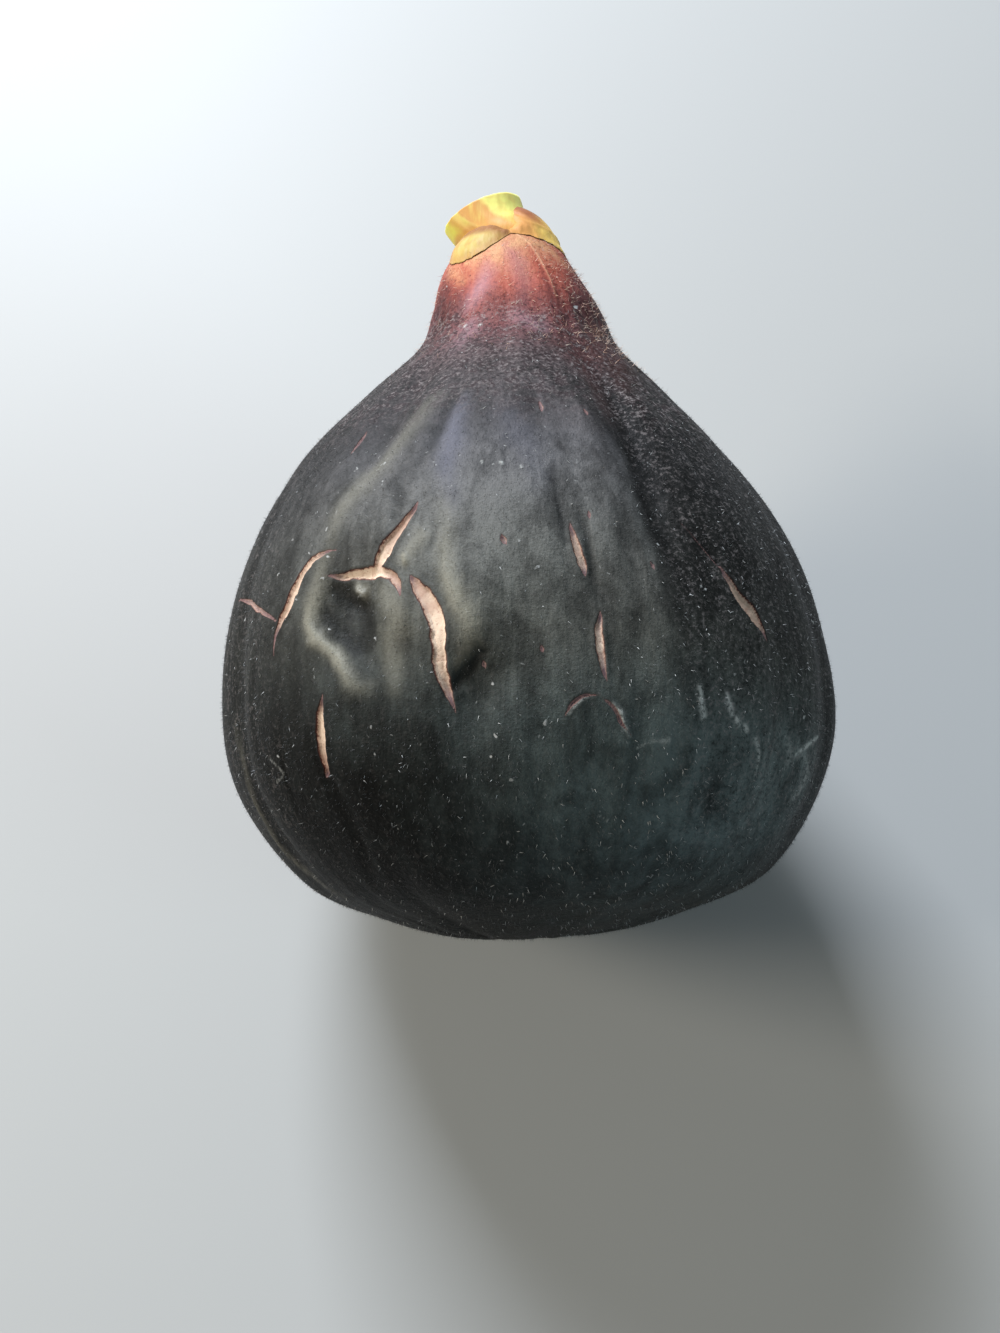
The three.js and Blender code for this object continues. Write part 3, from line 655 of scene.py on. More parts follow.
# %% Browned flesh, and the brush
# Torn flesh that has dried browner, mostly at the ends of the splits.
BROWNED_STROKES = [
    [(26.4, -18.9, 0.7, 1.0), (25.4, -17.4, 0.8, 0.9), (24.4, -16.6, 0.8, 0.6)],
    [(20.4, -14.4, 0.7, 0.2), (18.9, -13.6, 0.7, 0.5), (17.8, -12.8, 0.7, 0.9),
     (16.7, -11.9, 0.7, 1.0)],
    [(32.0, -18.4, 0.8, 1.0), (30.6, -20.4, 0.8, 0.8), (29.0, -23.0, 0.7, 0.5),
     (28.2, -24.4, 0.5, 0.2)],
    [(26.8, -23.4, 0.6, 0.6), (26.3, -21.8, 0.7, 0.9), (24.9, -20.2, 0.7, 1.0)],
    [(27.1, -35.4, 0.6, 0.9), (27.0, -33.8, 0.5, 0.5)],
    [(29.0, -34.0, 0.8, 0.8), (27.8, -39.6, 0.8, 0.45), (25.4, -43.0, 0.9, 0.45),
     (22.4, -46.0, 0.8, 0.8)],
    [(27.7, -68.0, 0.8, 0.7), (26.5, -57.5, 0.8, 0.5), (24.9, -48.0, 0.8, 0.8)],
    [(18.4, -34.2, 0.6, 0.8), (17.6, -34.7, 0.5, 0.3)],
    [(15.2, -35.8, 0.5, 0.3), (14.2, -36.4, 0.6, 0.8), (13.1, -36.9, 0.6, 1.0)],
    [(27.4, 33.0, 0.8, 0.9), (25.4, 35.8, 0.8, 0.7), (23.0, 39.8, 0.8, 0.9)],
    [(29.4, 6.8, 0.6, 0.6), (26.4, 8.2, 0.6, 0.5)],
]
STROKE_STEP = 0.12
# a stroke has faded out at this many times its width
STROKE_REACH = 2.2


def brush(points, strokes, seed, widen=0.0):
    """The strongest stroke at every point, from 0 to 1, with uneven edges."""
    found = np.zeros(len(points))
    waver = 1 + 0.28 * noise(*(points / 0.9).T, seed=seed)
    waver += 0.14 * noise(*(points / 0.3).T, seed=seed + 1)
    for stroke in strokes:
        rows = np.array(stroke)
        ends = skin(fruit_share(rows[:, 0]), rows[:, 1])
        length = np.linalg.norm(np.diff(ends, axis=0), axis=1).sum()
        samples = along(rows, np.linspace(0, 1, max(5, int(length / STROKE_STEP))))
        samples[:, 2] += widen
        path = skin(fruit_share(samples[:, 0]), samples[:, 1])
        margin = STROKE_REACH * samples[:, 2].max()
        low, high = path.min(0) - margin, path.max(0) + margin
        close = np.flatnonzero(np.all((points > low) & (points < high), axis=1))
        apart = np.linalg.norm(points[close][:, None] - path[None], axis=2)
        soft = samples[:, 3] * np.exp(-((apart * waver[close, None] / samples[:, 2]) ** 2))
        found[close] = np.maximum(found[close], soft.max(1))
    return found


split_top = skin(fruit_share([26.4]), np.array([-18.9]))
browning = brush(split_top, BROWNED_STROKES, seed=77)
print("the flesh is browned to", browning.round(2), "at the top of the wide split")

# %% [markdown]
# ## The skin mesh
# The skin is first drawn flat, as a chart of share against turn, cut finer where it is split or
# scuffed, and then rolled up. A chart can be cut with one bmesh call and no care for the curve,
# while a fine grid everywhere would waste most of its faces on smooth skin.

# %% Chart of the skin, cut finer round the splits
SKIN_ROWS = 150
SKIN_SIDES = 300
EXTRA_CUTS = 4
# what is cut finer: so near a split, or under a stroke of this strength widened by this much
SPLIT_MARGIN = 0.5
STROKE_LEAST = 0.15
STROKE_WIDEN = 0.2


def chart_mesh():
    """A closed chart of (turn, share, 0) points: rows of quads with a point at each pole.

    The point that closes the neck has a 1 in the last place, so that it can be told apart.
    """
    share = (np.arange(SKIN_ROWS) + 1) / SKIN_ROWS
    turn = 360 * np.arange(SKIN_SIDES) / SKIN_SIDES - 180
    chart = bmesh.new()
    eye = chart.verts.new((0, 0, 0))
    rows = [[chart.verts.new((x, y, 0)) for x in turn] for y in share]
    neck = chart.verts.new((0, 1, 1))
    for side in range(SKIN_SIDES):
        after = (side + 1) % SKIN_SIDES
        chart.faces.new((eye, rows[0][after], rows[0][side]))
        for lower, upper in zip(rows, rows[1:]):
            chart.faces.new((lower[side], lower[after], upper[after], upper[side]))
        chart.faces.new((neck, rows[-1][side], rows[-1][after]))
    chart.verts.index_update()
    return chart


chart = chart_mesh()
places = np.array([vertex.co for vertex in chart.verts])
chart_points = skin(places[:, 1], places[:, 0])
detailed = nearest_split(chart_points)["edge"] < SPLIT_MARGIN
fine_strokes = SCUFF_AND_GLINT_STROKES + DENT_STROKES + [NECK_VEIN]
detailed |= brush(chart_points, fine_strokes, seed=67, widen=STROKE_WIDEN) > STROKE_LEAST
close_faces = [
    face for face in chart.faces
    if len(face.verts) == 4 and any(detailed[vertex.index] for vertex in face.verts)
]
close_edges = list({edge for face in close_faces for edge in face.edges})
bmesh.ops.subdivide_edges(chart, edges=close_edges, cuts=EXTRA_CUTS, use_grid_fill=True)
skin_mesh = bpy.data.meshes.new("fig_skin")
chart.to_mesh(skin_mesh)
chart.free()
print(len(close_faces), "faces cut finer, the skin has", len(skin_mesh.polygons), "faces")

# %% [markdown]
# ## Rolling the chart up
# Each chart point gets its place on the skin, then moves along the outward direction by the
# fine relief: long faint ribs, creases, the strokes and the splits. A Displace modifier could do
# this from a texture, but here the same numbers also feed the paint. The floor of a split is
# torn flesh, so it is rough. At the eye the skin is drawn in to a small pocket, and the open
# neck end is closed by a flat disc that the stalk hides.

# %% Fine relief of the skin
# faint ribs, two sizes of crease, and swellings:
# height in mm, how fine they are round the fig, length along it, seed
RIPPLES = [
    (0.16, 8.0, 22, 11),
    (0.06, 21.6, 14, 12),
    (0.025, 52.0, 7, 14),
    (0.12, 6.4, 6, 13),
]
# how deep a split is at least, and how much more for each mm of its width
SPLIT_FLOOR = 0.08
SPLIT_DEPTH = 0.16
SPLIT_WALL = 0.14
LIP_RISE = 0.05
LIP_WIDTH = 0.14


def fine_relief(height, turn, radius):
    """Long faint ribs, creases and an uneven surface, in mm, less near the poles."""
    side = np.sin(np.radians(turn))
    up = np.cos(np.radians(turn))
    relief = np.zeros(np.shape(height))
    for rise, fineness, length, seed in RIPPLES:
        relief += rise * noise(side * fineness, up * fineness, height / length, seed=seed)
    return relief * smooth_step(3, 9, radius) * (1 - smooth_step(56, 60, height))


def split_relief(near):
    """How far the skin moves out (or in) near a split, in mm."""
    depth = SPLIT_FLOOR + SPLIT_DEPTH * near["width"]
    fibres = 0.018 * noise(near["reach"] / 0.16, near["across"] * 1.5, seed=21)
    fibres += 0.022 * noise(near["reach"] / 0.4, near["across"] * 3, seed=22)
    inside = smooth_step(0, SPLIT_WALL, -near["edge"])
    rise = LIP_RISE * np.minimum(1, near["width"] / 0.4)
    lip = rise * np.exp(-(((near["edge"] - 0.12) / LIP_WIDTH) ** 2))
    return inside * (fibres * np.minimum(1, near["width"] / 0.5) - depth) + lip * (1 - inside)


ripples = fine_relief(np.linspace(10, 50, 81), 0.0, 20.0)
print("down the front the ripples reach from", ripples.min().round(2), "to", ripples.max().round(2))

# %% Roll the chart up
STROKE_RELIEF = 0.24
SCUFF_RELIEF = 0.04
EYE_POCKET_RADIUS = 3.0
EYE_POCKET_DEPTH = 1.1
# the pocket is full depth inside this share of its radius
EYE_POCKET_FLOOR = 0.74

flat = np.empty(len(skin_mesh.vertices) * 3)
skin_mesh.vertices.foreach_get("co", flat)
turn, share, neck_pole = flat.reshape(-1, 3).T
height, radius = np.moveaxis(along(FRUIT_RINGS, share), -1, 0)[:2]
points = skin(share, turn)
outward = skin_normal(share, turn)
near = nearest_split(points)
shine = brush(points, SHINE_STROKES + DENT_STROKES, seed=61)
lilac = brush(points, LILAC_STROKES, seed=63)
shade = brush(points, SHADE_STROKES, seed=65)
haze_and_sheen = brush(points, HAZE_AND_SHEEN_STROKES, seed=73)
scuff = brush(points, SCUFF_AND_GLINT_STROKES, seed=67)
peach = brush(points, PEACH_STROKES, seed=69)
vein = brush(points, [NECK_VEIN], seed=71)
maroon = brush(points, MAROON_STROKES, seed=75)
browned = brush(points, BROWNED_STROKES, seed=77)
relief = fine_relief(height, turn, radius) + STROKE_RELIEF * (shine - shade) + split_relief(near)
relief += SCUFF_RELIEF * (scuff + vein)
points += outward * relief[:, None]

in_pocket = (share < 2 * PAST_EYE) & (radius < EYE_POCKET_RADIUS)
from_axis = radius[in_pocket, None] / EYE_POCKET_RADIUS
deepen = EYE_POCKET_DEPTH * smooth_step(1.0, EYE_POCKET_FLOOR, from_axis)
points[in_pocket] += deepen * tip_back(0, 0, 1)
points[neck_pole > 0.5] = tip_back(FRUIT_RINGS[-1][2], 0, NECK_TOP) + move
points[:, 2] = np.maximum(points[:, 2], 0)
skin_mesh.vertices.foreach_set("co", (points * MM).ravel())
skin_mesh.update()
print("skin box", points.min(0).round(2), points.max(0).round(2), "mm")

# %% [markdown]
# ## Painting by numbers
# Where the colour changes (the blush on the neck, the bloom with its painted sheen on the
# shoulders) depends on height and turn, which are known here and awkward in a shader. So each such
# amount is worked out once for every point and stored as a named attribute. The shader reads it by
# name and adds the small-scale grain.

# %% Attribute helper
def store(mesh, **amounts):
    """Keeps one number for each point of a mesh, under a name that a shader can read."""
    for name, values in amounts.items():
        layer = mesh.attributes.new(name, "FLOAT", "POINT")
        layer.data.foreach_set("value", np.asarray(values, np.float32))


def bell(value, middle, width):
    """1 at the middle, fading out on both sides."""
    return np.exp(-(((value - middle) / width) ** 2))


print("a bell is", round(float(bell(1, 0, 1)), 2), "high at one width from its middle")

# %% The painted amounts
BLUSH_LOW = 44
BLUSH_HIGH = 63


def ripeness(height, turn):
    """0 where the skin is black and 1 where it is still peach, under the stalk."""
    # It is riper on both flanks and behind, and less ripe in one furrow and two patches.
    shift = -3.0 * bell(turn, 48, 24) - 4.5 * bell(turn, 75, 22) - 3.4 * bell(turn, -66, 22)
    shift += 2.6 * bell(turn, 23, 9) * (1 - smooth_step(46, 54, height))
    shift += 1.6 * bell(turn, -30, 10) * bell(height, 59.5, 2.2)
    shift += 1.4 * bell(turn, -12, 9) * bell(height, 59.0, 1.5)
    shift -= 2.0 * smooth_step(90, 130, np.abs(turn))
    shift += 1.0 * noise(turn / 9, height / 3, seed=31) + 0.7 * noise(turn / 3, height / 6, seed=35)
    return np.clip((height + shift - BLUSH_LOW) / (BLUSH_HIGH - BLUSH_LOW), 0, 1)


def smoke_amount(height, turn):
    """The smoky grey veil of the bloom, thick on the shoulders and the front, thin elsewhere; on the
    front it is in part a painted sheen, and low on the right a painted teal reflection.
    """
    front = smooth_step(-70, -2, turn) * (1 - smooth_step(-8, 32, turn))
    behind = smooth_step(80, 120, np.abs(turn)) * (0.3 + 0.2 * noise(turn / 25, height / 12, seed=32))
    shoulders = smooth_step(12, 30, height) * (0.95 - 0.50 * smooth_step(30, 42, height))
    low_left = 0.45 * bell(height, 14, 7) * bell(turn, -38, 20)
    # low on the right: a painted teal reflection
    low_right = bell(height, 12.5, 8) * smooth_step(-30, 25, turn) * (1 - smooth_step(42, 75, turn))
    cover = shoulders * (0.12 + 0.88 * front + behind) * (1 - low_left)
    return np.clip(cover + 0.85 * low_right, 0, 1)


def streak_amount(height, turn):
    """Long thin streaks in the bloom, along the ribs."""
    side = np.sin(np.radians(turn))
    up = np.cos(np.radians(turn))
    streak = smooth_step(-0.5, 0.6, noise(side * 22, up * 22, height / 16, seed=33))
    fine = smooth_step(-0.6, 0.6, noise(side * 60, up * 60, height / 5, seed=34))
    return 0.4 * streak + 0.6 * fine


def grit_amount(height, turn):
    """Pale grit of short hairs: dense round the foot of the neck and down the right flank."""
    foot = smooth_step(38, 46, height) * (1 - smooth_step(52.5, 56, height))
    right = 0.55 * smooth_step(19, 27, turn) * (1 - smooth_step(120, 150, turn))
    left = 0.30 * smooth_step(-40, -60, turn)
    maroon = smooth_step(22, 42, turn) * smooth_step(45, 50, height)
    return np.clip(0.10 + foot + (right + left) * smooth_step(4, 12, height), 0, 1) * (1 - 0.7 * maroon)


print("smoke covers", round(float(smoke_amount(height, turn).mean()), 2), "of the skin's points")

# %% Store the amounts and place the skin
store(
    skin_mesh,
    ripeness=ripeness(height, turn),
    smoke=np.minimum(1, smoke_amount(height, turn) + 0.4 * haze_and_sheen),
    streak=streak_amount(height, turn),
    grit=grit_amount(height, turn),
    shine=shine,
    scuff=scuff,
    peach=peach,
    vein=vein,
    maroon=maroon,
    browned=browned,
    lilac=lilac,
    shade=shade,
    split_edge=near["edge"],
    split_across=near["across"],
    split_reach=near["reach"],
    split_width=near["width"],
)
fig_skin = put_in_scene("fig_skin", skin_mesh)
skin_mesh.shade_smooth()
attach(fig_skin, "root")
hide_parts("fruit")
print("shine touches", int((shine > 0.3).sum()), "points and shade", int((shade > 0.3).sum()))

# %% [markdown]
# ## Building shaders in code
# A finish is a tree of nodes. It could be wired by hand in the shader editor, but code says in a
# line what each node is for and gives the same tree each run. It reads best from its end
# backwards, though it is built forwards. A few short helpers keep that readable: one adds a node
# and plugs its inputs, one mixes two colours by a mask, and one turns a number into a soft mask.

# %% Shader helpers
def new_paint(name, **sockets):
    """A material with a Principled shader, its plain numbers set on the shader's own sockets."""
    material = bpy.data.materials.new(name)
    material.use_nodes = True
    shader = material.node_tree.nodes["Principled BSDF"]
    for socket, value in sockets.items():
        shader.inputs[socket.replace("_", " ")].default_value = value
    return material, material.node_tree, shader


def add(tree, kind, plugs=None, **settings):
    """Adds a node. plugs maps an input's name or number to a value or to another node's output."""
    node = tree.nodes.new("ShaderNode" + kind)
    for name, value in settings.items():
        setattr(node, name, value)
    for name, value in (plugs or {}).items():
        if isinstance(value, bpy.types.NodeSocket):
            tree.links.new(value, node.inputs[name])
        else:
            node.inputs[name].default_value = value
    return node


def amount(tree, name):
    """A painted amount, read by its name."""
    return add(tree, "Attribute", attribute_name=name).outputs["Fac"]


def mask(tree, value, low, high):
    """0 below low and 1 above high, smooth between, or the other way round if low is higher."""
    plugs = {"Value": value, "From Min": low, "From Max": high}
    return add(tree, "MapRange", plugs, interpolation_type="SMOOTHSTEP").outputs["Result"]


def mix(tree, share, first, second, blend="MIX"):
    """Mixes two colours. Inputs 0, 6 and 7 are the share and the two colours."""
    node = add(tree, "Mix", {0: share, 6: first, 7: second}, data_type="RGBA", blend_type=blend)
    return node.outputs[2]


def calc(tree, operation, first, second=0.0):
    """One step of arithmetic on numbers or node outputs."""
    return add(tree, "Math", {0: first, 1: second}, operation=operation).outputs[0]


def ramp(tree, value, stops):
    """A colour for each value, from a list of (place, colour) stops."""
    node = add(tree, "ValToRGB", {"Fac": value})
    scale = node.color_ramp
    while len(scale.elements) < len(stops):
        scale.elements.new(0.5)
    for element, (place, colour) in zip(scale.elements, stops):
        element.position = place
        element.color = (*colour, 1)
    return node.outputs["Color"]


print(len([new_paint, add, amount, mask, mix, calc, ramp]), "helpers for nodes")

# %% Places, grain and specks
def fig_place(tree, stretch=1.0):
    """Shader coordinates in mm in the fig's own frame: side, height over stretch, up."""
    place = add(tree, "TexCoord").outputs["Object"]
    plugs = {
        "Vector": place,
        "Location": Vector(move * MM),
        "Rotation": (AXIS_RISE, 0, 0),
        "Scale": (MM, MM * stretch, MM),
    }
    return add(tree, "Mapping", plugs, vector_type="TEXTURE").outputs["Vector"]


def grain(tree, place, size, detail=2.0, roughness=0.5, distortion=0.0):
    """Noise whose bumps are about size across, in the units of the place."""
    plugs = {
        "Vector": place,
        "Scale": 1 / size,
        "Detail": detail,
        "Roughness": roughness,
        "Distortion": distortion,
    }
    return add(tree, "TexNoise", plugs).outputs["Fac"]


def specks(tree, place, spacing, radius, share):
    """Round dots of a radius, on a share of the cells of a Voronoi pattern."""
    plugs = {"Vector": place, "Scale": 1 / spacing, "Randomness": 1.0}
    cells = add(tree, "TexVoronoi", plugs)
    near_middle = mask(tree, cells.outputs["Distance"], radius / spacing, 0.5 * radius / spacing)
    chosen = add(tree, "SeparateColor", {"Color": cells.outputs["Color"]}).outputs[0]
    return calc(tree, "MULTIPLY", near_middle, calc(tree, "LESS_THAN", chosen, share))


print("grain and specks are measured in mm from", move.round(1))

# %% [markdown]
# ## The skin's finish
# Fig skin is nearly black, but not one black: a smoky bloom lightens it in clouds and streaks,
# pale flecks and grit dot it, and the neck runs through burgundy and red to a peach that has not
# ripened. It is velvety, so its gloss is broad and soft, except where it is rubbed. The colour is
# built up in layers, as a painter would: each line below lays one colour over the last, through
# a mask that says where. Colours in a picture wrapped round the fruit would need no layers, but
# would blur from near and couldn't be changed one by one.
# Some light is painted into the colour as well: highlights on the ridges of the dent, lilac highlights
# on the shoulders and neck, sheen in the bloom on the front, glints, and shade in the furrows and
# hollows.

# %% Skin colours
SKIN_BLACK = (0.0054, 0.0056, 0.0052)
# grey-green painted highlight on the ridges, partly rubbed skin
RUBBED_AND_HIGHLIGHT = (0.305, 0.290, 0.232)
# painted lilac highlight on the shoulders
LILAC_HIGHLIGHT = (0.148, 0.148, 0.185)
# pale of the scuffs, also used for the painted glints
SCUFF_AND_GLINT_PALE = (0.620, 0.630, 0.600)
GRIT_PALE = (0.250, 0.220, 0.214)
FLECK = (0.560, 0.560, 0.550)
# painted lilac highlight on the neck
NECK_LILAC_HIGHLIGHT = (0.520, 0.340, 0.400)
VEIN_PALE = (0.850, 0.500, 0.300)
PEACH = (0.720, 0.380, 0.200)
MAROON = (0.062, 0.017, 0.015)
FOOT_BROWN = (0.034, 0.020, 0.022)
# by height over the length of the fig: teal low down, in part a painted teal reflection, grey,
# blue-grey, and warm at the neck
FIG_LENGTH = 65
BLOOM_AND_SHEEN_STOPS = [
    (0.12, (0.114, 0.149, 0.150)),
    (0.25, (0.128, 0.155, 0.149)),
    (0.34, (0.152, 0.156, 0.138)),
    (0.46, (0.155, 0.155, 0.146)),
    (0.58, (0.148, 0.142, 0.148)),
    (0.70, (0.148, 0.118, 0.122)),
    (0.80, (0.160, 0.094, 0.097)),
]
# by ripeness: black, maroon, burgundy, red, salmon, peach
NECK_STOPS = [
    (0.00, (0.124, 0.098, 0.102)),
    (0.20, (0.126, 0.076, 0.080)),
    (0.38, (0.145, 0.055, 0.057)),
    (0.52, (0.235, 0.062, 0.052)),
    (0.66, (0.430, 0.105, 0.070)),
    (0.80, (0.570, 0.200, 0.120)),
    (0.92, (0.640, 0.300, 0.160)),
    (1.00, (0.660, 0.350, 0.170)),
]


def opaque(colour):
    """A colour with the fourth number that a node's colour input wants."""
    return (*colour, 1)


print(len(BLOOM_AND_SHEEN_STOPS), "colours of smoke and", len(NECK_STOPS), "of the neck")

# %% Skin: black, bloom with painted sheen, and painted highlights
paint, tree, shader = new_paint("dark_velvet_skin", Specular_IOR_Level=0.09)
# five grains, from clouds of 2 mm down to dust; where the place is stretched they are long
place = fig_place(tree)
along_ribs = fig_place(tree, 9)
clouds = grain(tree, fig_place(tree, 1.7), 2.2, 5.0, 0.6, 0.4)
puffs = grain(tree, fig_place(tree, 1.8), 0.8, 4.0, 0.6, 0.5)
streaks = grain(tree, along_ribs, 0.5, 3.0, 0.6)
dust = grain(tree, place, 0.16, 2.0, 0.7)
crumbs = grain(tree, place, 0.34, 3.0, 0.75)


def scaled(value, low, high):
    """A mask that runs from low to high instead of from 0 to 1, in the tree being painted."""
    return calc(tree, "ADD", calc(tree, "MULTIPLY", value, high - low), low)


def product(*factors):
    """All factors multiplied, nodes or plain numbers, in the tree being painted."""
    result = factors[0]
    for factor in factors[1:]:
        result = calc(tree, "MULTIPLY", result, factor)
    return result


# bloom over the black, uneven in clouds, puffs, streaks and dust; on the front it is in part a painted
# sheen, and low down on the right a painted teal reflection
fig_height = add(tree, "SeparateXYZ", {"Vector": place}).outputs["Y"]
smoke_colour = ramp(tree, calc(tree, "DIVIDE", fig_height, FIG_LENGTH), BLOOM_AND_SHEEN_STOPS)
smoke = product(
    amount(tree, "smoke"),
    scaled(mask(tree, clouds, 0.34, 0.62), 0.58, 1.16),
    scaled(mask(tree, puffs, 0.30, 0.62), 0.78, 1.12),
    scaled(amount(tree, "streak"), 0.75, 1.15),
    scaled(mask(tree, dust, 0.2, 0.8), 0.80, 1.20),
)
colour = mix(tree, smoke, opaque(SKIN_BLACK), smoke_colour)
faint = product(mask(tree, clouds, 0.42, 0.66), scaled(mask(tree, puffs, 0.4, 0.6), 0.3, 1.0))
colour = mix(tree, calc(tree, "MULTIPLY", faint, 0.06), colour, smoke_colour)
# painted highlights: the shiny strokes, partly on rubbed skin, then the lilac ones
rubbed_and_highlit = product(amount(tree, "shine"), scaled(mask(tree, dust, 0.2, 0.8), 0.75, 1.0))
colour = mix(tree, rubbed_and_highlit, colour, opaque(RUBBED_AND_HIGHLIGHT))
lilac_grain = product(amount(tree, "lilac"), scaled(mask(tree, dust, 0.2, 0.8), 0.7, 1.0))
colour = mix(tree, calc(tree, "MULTIPLY", lilac_grain, 0.85), colour, opaque(LILAC_HIGHLIGHT))
print("skin colours mixed with", len(tree.nodes), "nodes so far")

# %% Neck, grit and flecks
# the neck's own colours, with a painted lilac highlight, unripe patches and the vein
crumbly = calc(tree, "MULTIPLY", calc(tree, "SUBTRACT", crumbs, 0.5), 0.35)
ripe = calc(tree, "ADD", amount(tree, "ripeness"), crumbly)
neck = ramp(tree, ripe, NECK_STOPS)
neck = mix(tree, calc(tree, "MULTIPLY", lilac_grain, 0.70), neck, opaque(NECK_LILAC_HIGHLIGHT))
peachy = product(amount(tree, "peach"), scaled(mask(tree, crumbs, 0.35, 0.6), 0.5, 1.0))
neck = mix(tree, peachy, neck, opaque(PEACH))
neck = mix(tree, calc(tree, "MULTIPLY", amount(tree, "vein"), 0.55), neck, opaque(VEIN_PALE))
above_body = mask(tree, amount(tree, "ripeness"), 0.0, 0.10)
colour = mix(tree, product(mask(tree, ripe, 0.02, 0.40), above_body), colour, neck)
# maroon sides, brown blotches at the foot of the neck, painted shade in the furrows, then pale scuffs
# and painted glints
reddened = product(amount(tree, "maroon"), scaled(mask(tree, puffs, 0.35, 0.65), 0.6, 0.95))
colour = mix(tree, reddened, colour, opaque(MAROON))
foot = product(mask(tree, fig_height, 37, 44), mask(tree, ripe, 0.55, 0.30))
colour = mix(tree, product(foot, mask(tree, puffs, 0.46, 0.60), 0.7), colour, opaque(FOOT_BROWN))
colour = mix(tree, calc(tree, "MULTIPLY", amount(tree, "shade"), 0.8), colour, opaque(SKIN_BLACK))
scuffed = product(amount(tree, "scuff"), scaled(mask(tree, crumbs, 0.38, 0.58), 0.25, 1.0))
colour = mix(tree, scuffed, colour, opaque(SCUFF_AND_GLINT_PALE))

# grit in clumps, with dark pits between
clumps = mask(tree, puffs, 0.42, 0.58)
grit = product(amount(tree, "grit"), mask(tree, crumbs, 0.50, 0.64), scaled(clumps, 0.35, 1.25))
colour = mix(tree, calc(tree, "MULTIPLY", grit, 0.60), colour, opaque(GRIT_PALE))
pits = product(amount(tree, "grit"), mask(tree, crumbs, 0.48, 0.36), scaled(clumps, 1.0, 0.45))
colour = mix(tree, calc(tree, "MULTIPLY", pits, 0.85), colour, opaque(SKIN_BLACK))

# flecks of three sizes, on places bent a little so that they stand in no pattern
warp = add(tree, "TexNoise", {"Vector": place, "Scale": 1.6, "Detail": 1.0}).outputs["Color"]
bent = add(tree, "VectorMath", {0: place, 1: warp}, operation="ADD").outputs[0]
small_flecks = specks(tree, bent, 0.60, 0.085, 0.35)
large_flecks = specks(tree, bent, 1.90, 0.17, 0.40)
bright_flecks = specks(tree, bent, 3.70, 0.20, 0.48)
flecked = calc(tree, "MAXIMUM", product(small_flecks, 0.35), product(large_flecks, 0.65))
flecked = calc(tree, "MAXIMUM", flecked, bright_flecks)
colour = mix(tree, calc(tree, "MULTIPLY", flecked, 0.8), colour, opaque(FLECK))
print("with neck and flecks", len(tree.nodes), "nodes")

# %% [markdown]
# ## Torn flesh
# Where the skin is torn, cream flesh shows. It is drawn in fine fibres across the split, pink in
# narrow tears and in the tips, and its edge has dried red-brown. A second material on the faces
# of each split would stop in steps, along the edges of the faces. So one finish holds both, and
# the painted distance from the torn edge, roughened a little, decides which is seen.

# %% Torn flesh
FLESH_CREAM = (0.880, 0.690, 0.530)
FLESH_TAN = (0.560, 0.340, 0.250)
FLESH_PINK = (0.180, 0.112, 0.122)
FLESH_DRIED = (0.370, 0.222, 0.175)
TORN_BROWN = (0.110, 0.032, 0.024)

edge = amount(tree, "split_edge")
# fibres run across the split, so their grain is long that way
fibre_along = amount(tree, "split_reach")
fibre_across = calc(tree, "MULTIPLY", amount(tree, "split_across"), 0.35)
fibre_place = add(tree, "CombineXYZ", {"X": fibre_along, "Y": fibre_across}).outputs[0]
fibres = grain(tree, fibre_place, 0.20, 3.0, 0.65)
ragged = calc(tree, "ADD", edge, calc(tree, "MULTIPLY", calc(tree, "SUBTRACT", dust, 0.5), 0.07))
torn = mask(tree, ragged, 0.02, -0.02)
uneven_width = calc(tree, "ADD", amount(tree, "split_width"), calc(tree, "MULTIPLY", fibres, 0.3))
wide = mask(tree, uneven_width, 0.40, 0.84)
# the flesh: cream and tan fibres, browner at the ends, pink where the split is narrow
flesh = mix(tree, mask(tree, fibres, 0.26, 0.48), opaque(FLESH_TAN), opaque(FLESH_CREAM))
band_place = add(tree, "CombineXYZ", {"X": amount(tree, "split_reach")}).outputs[0]
bands = grain(tree, band_place, 0.8, 2.0)
flesh = mix(tree, product(mask(tree, bands, 0.50, 0.36), 0.5), flesh, opaque(FLESH_TAN))
flesh = mix(tree, product(amount(tree, "browned"), 0.85), flesh, opaque(FLESH_DRIED))
flesh = mix(tree, wide, opaque(FLESH_PINK), flesh)
# its edge: tan, then dried brown in crumbs, then a thin brown line
tan_edge = product(mask(tree, ragged, -0.10, -0.02), scaled(wide, 0.2, 1.0))
flesh = mix(tree, tan_edge, flesh, opaque(FLESH_TAN))
dried_edge = product(
    mask(tree, ragged, -0.14, -0.03),
    mask(tree, crumbs, 0.46, 0.58),
    scaled(wide, 0.3, 0.85),
)
flesh = mix(tree, dried_edge, flesh, opaque(TORN_BROWN))
brown_line = product(mask(tree, ragged, -0.04, 0.01), scaled(wide, 0.35, 1.0))
flesh = mix(tree, brown_line, flesh, opaque(TORN_BROWN))
# the flesh shows where the skin is torn, and the skin is brown just outside
colour = mix(tree, torn, colour, flesh)
rim = calc(tree, "MULTIPLY", mask(tree, ragged, 0.10, 0.02), calc(tree, "SUBTRACT", 1.0, torn))
colour = mix(tree, product(rim, scaled(wide, 0.10, 0.45)), colour, opaque(TORN_BROWN))
tree.links.new(colour, shader.inputs["Base Color"])
print("with torn flesh", len(tree.nodes), "nodes")

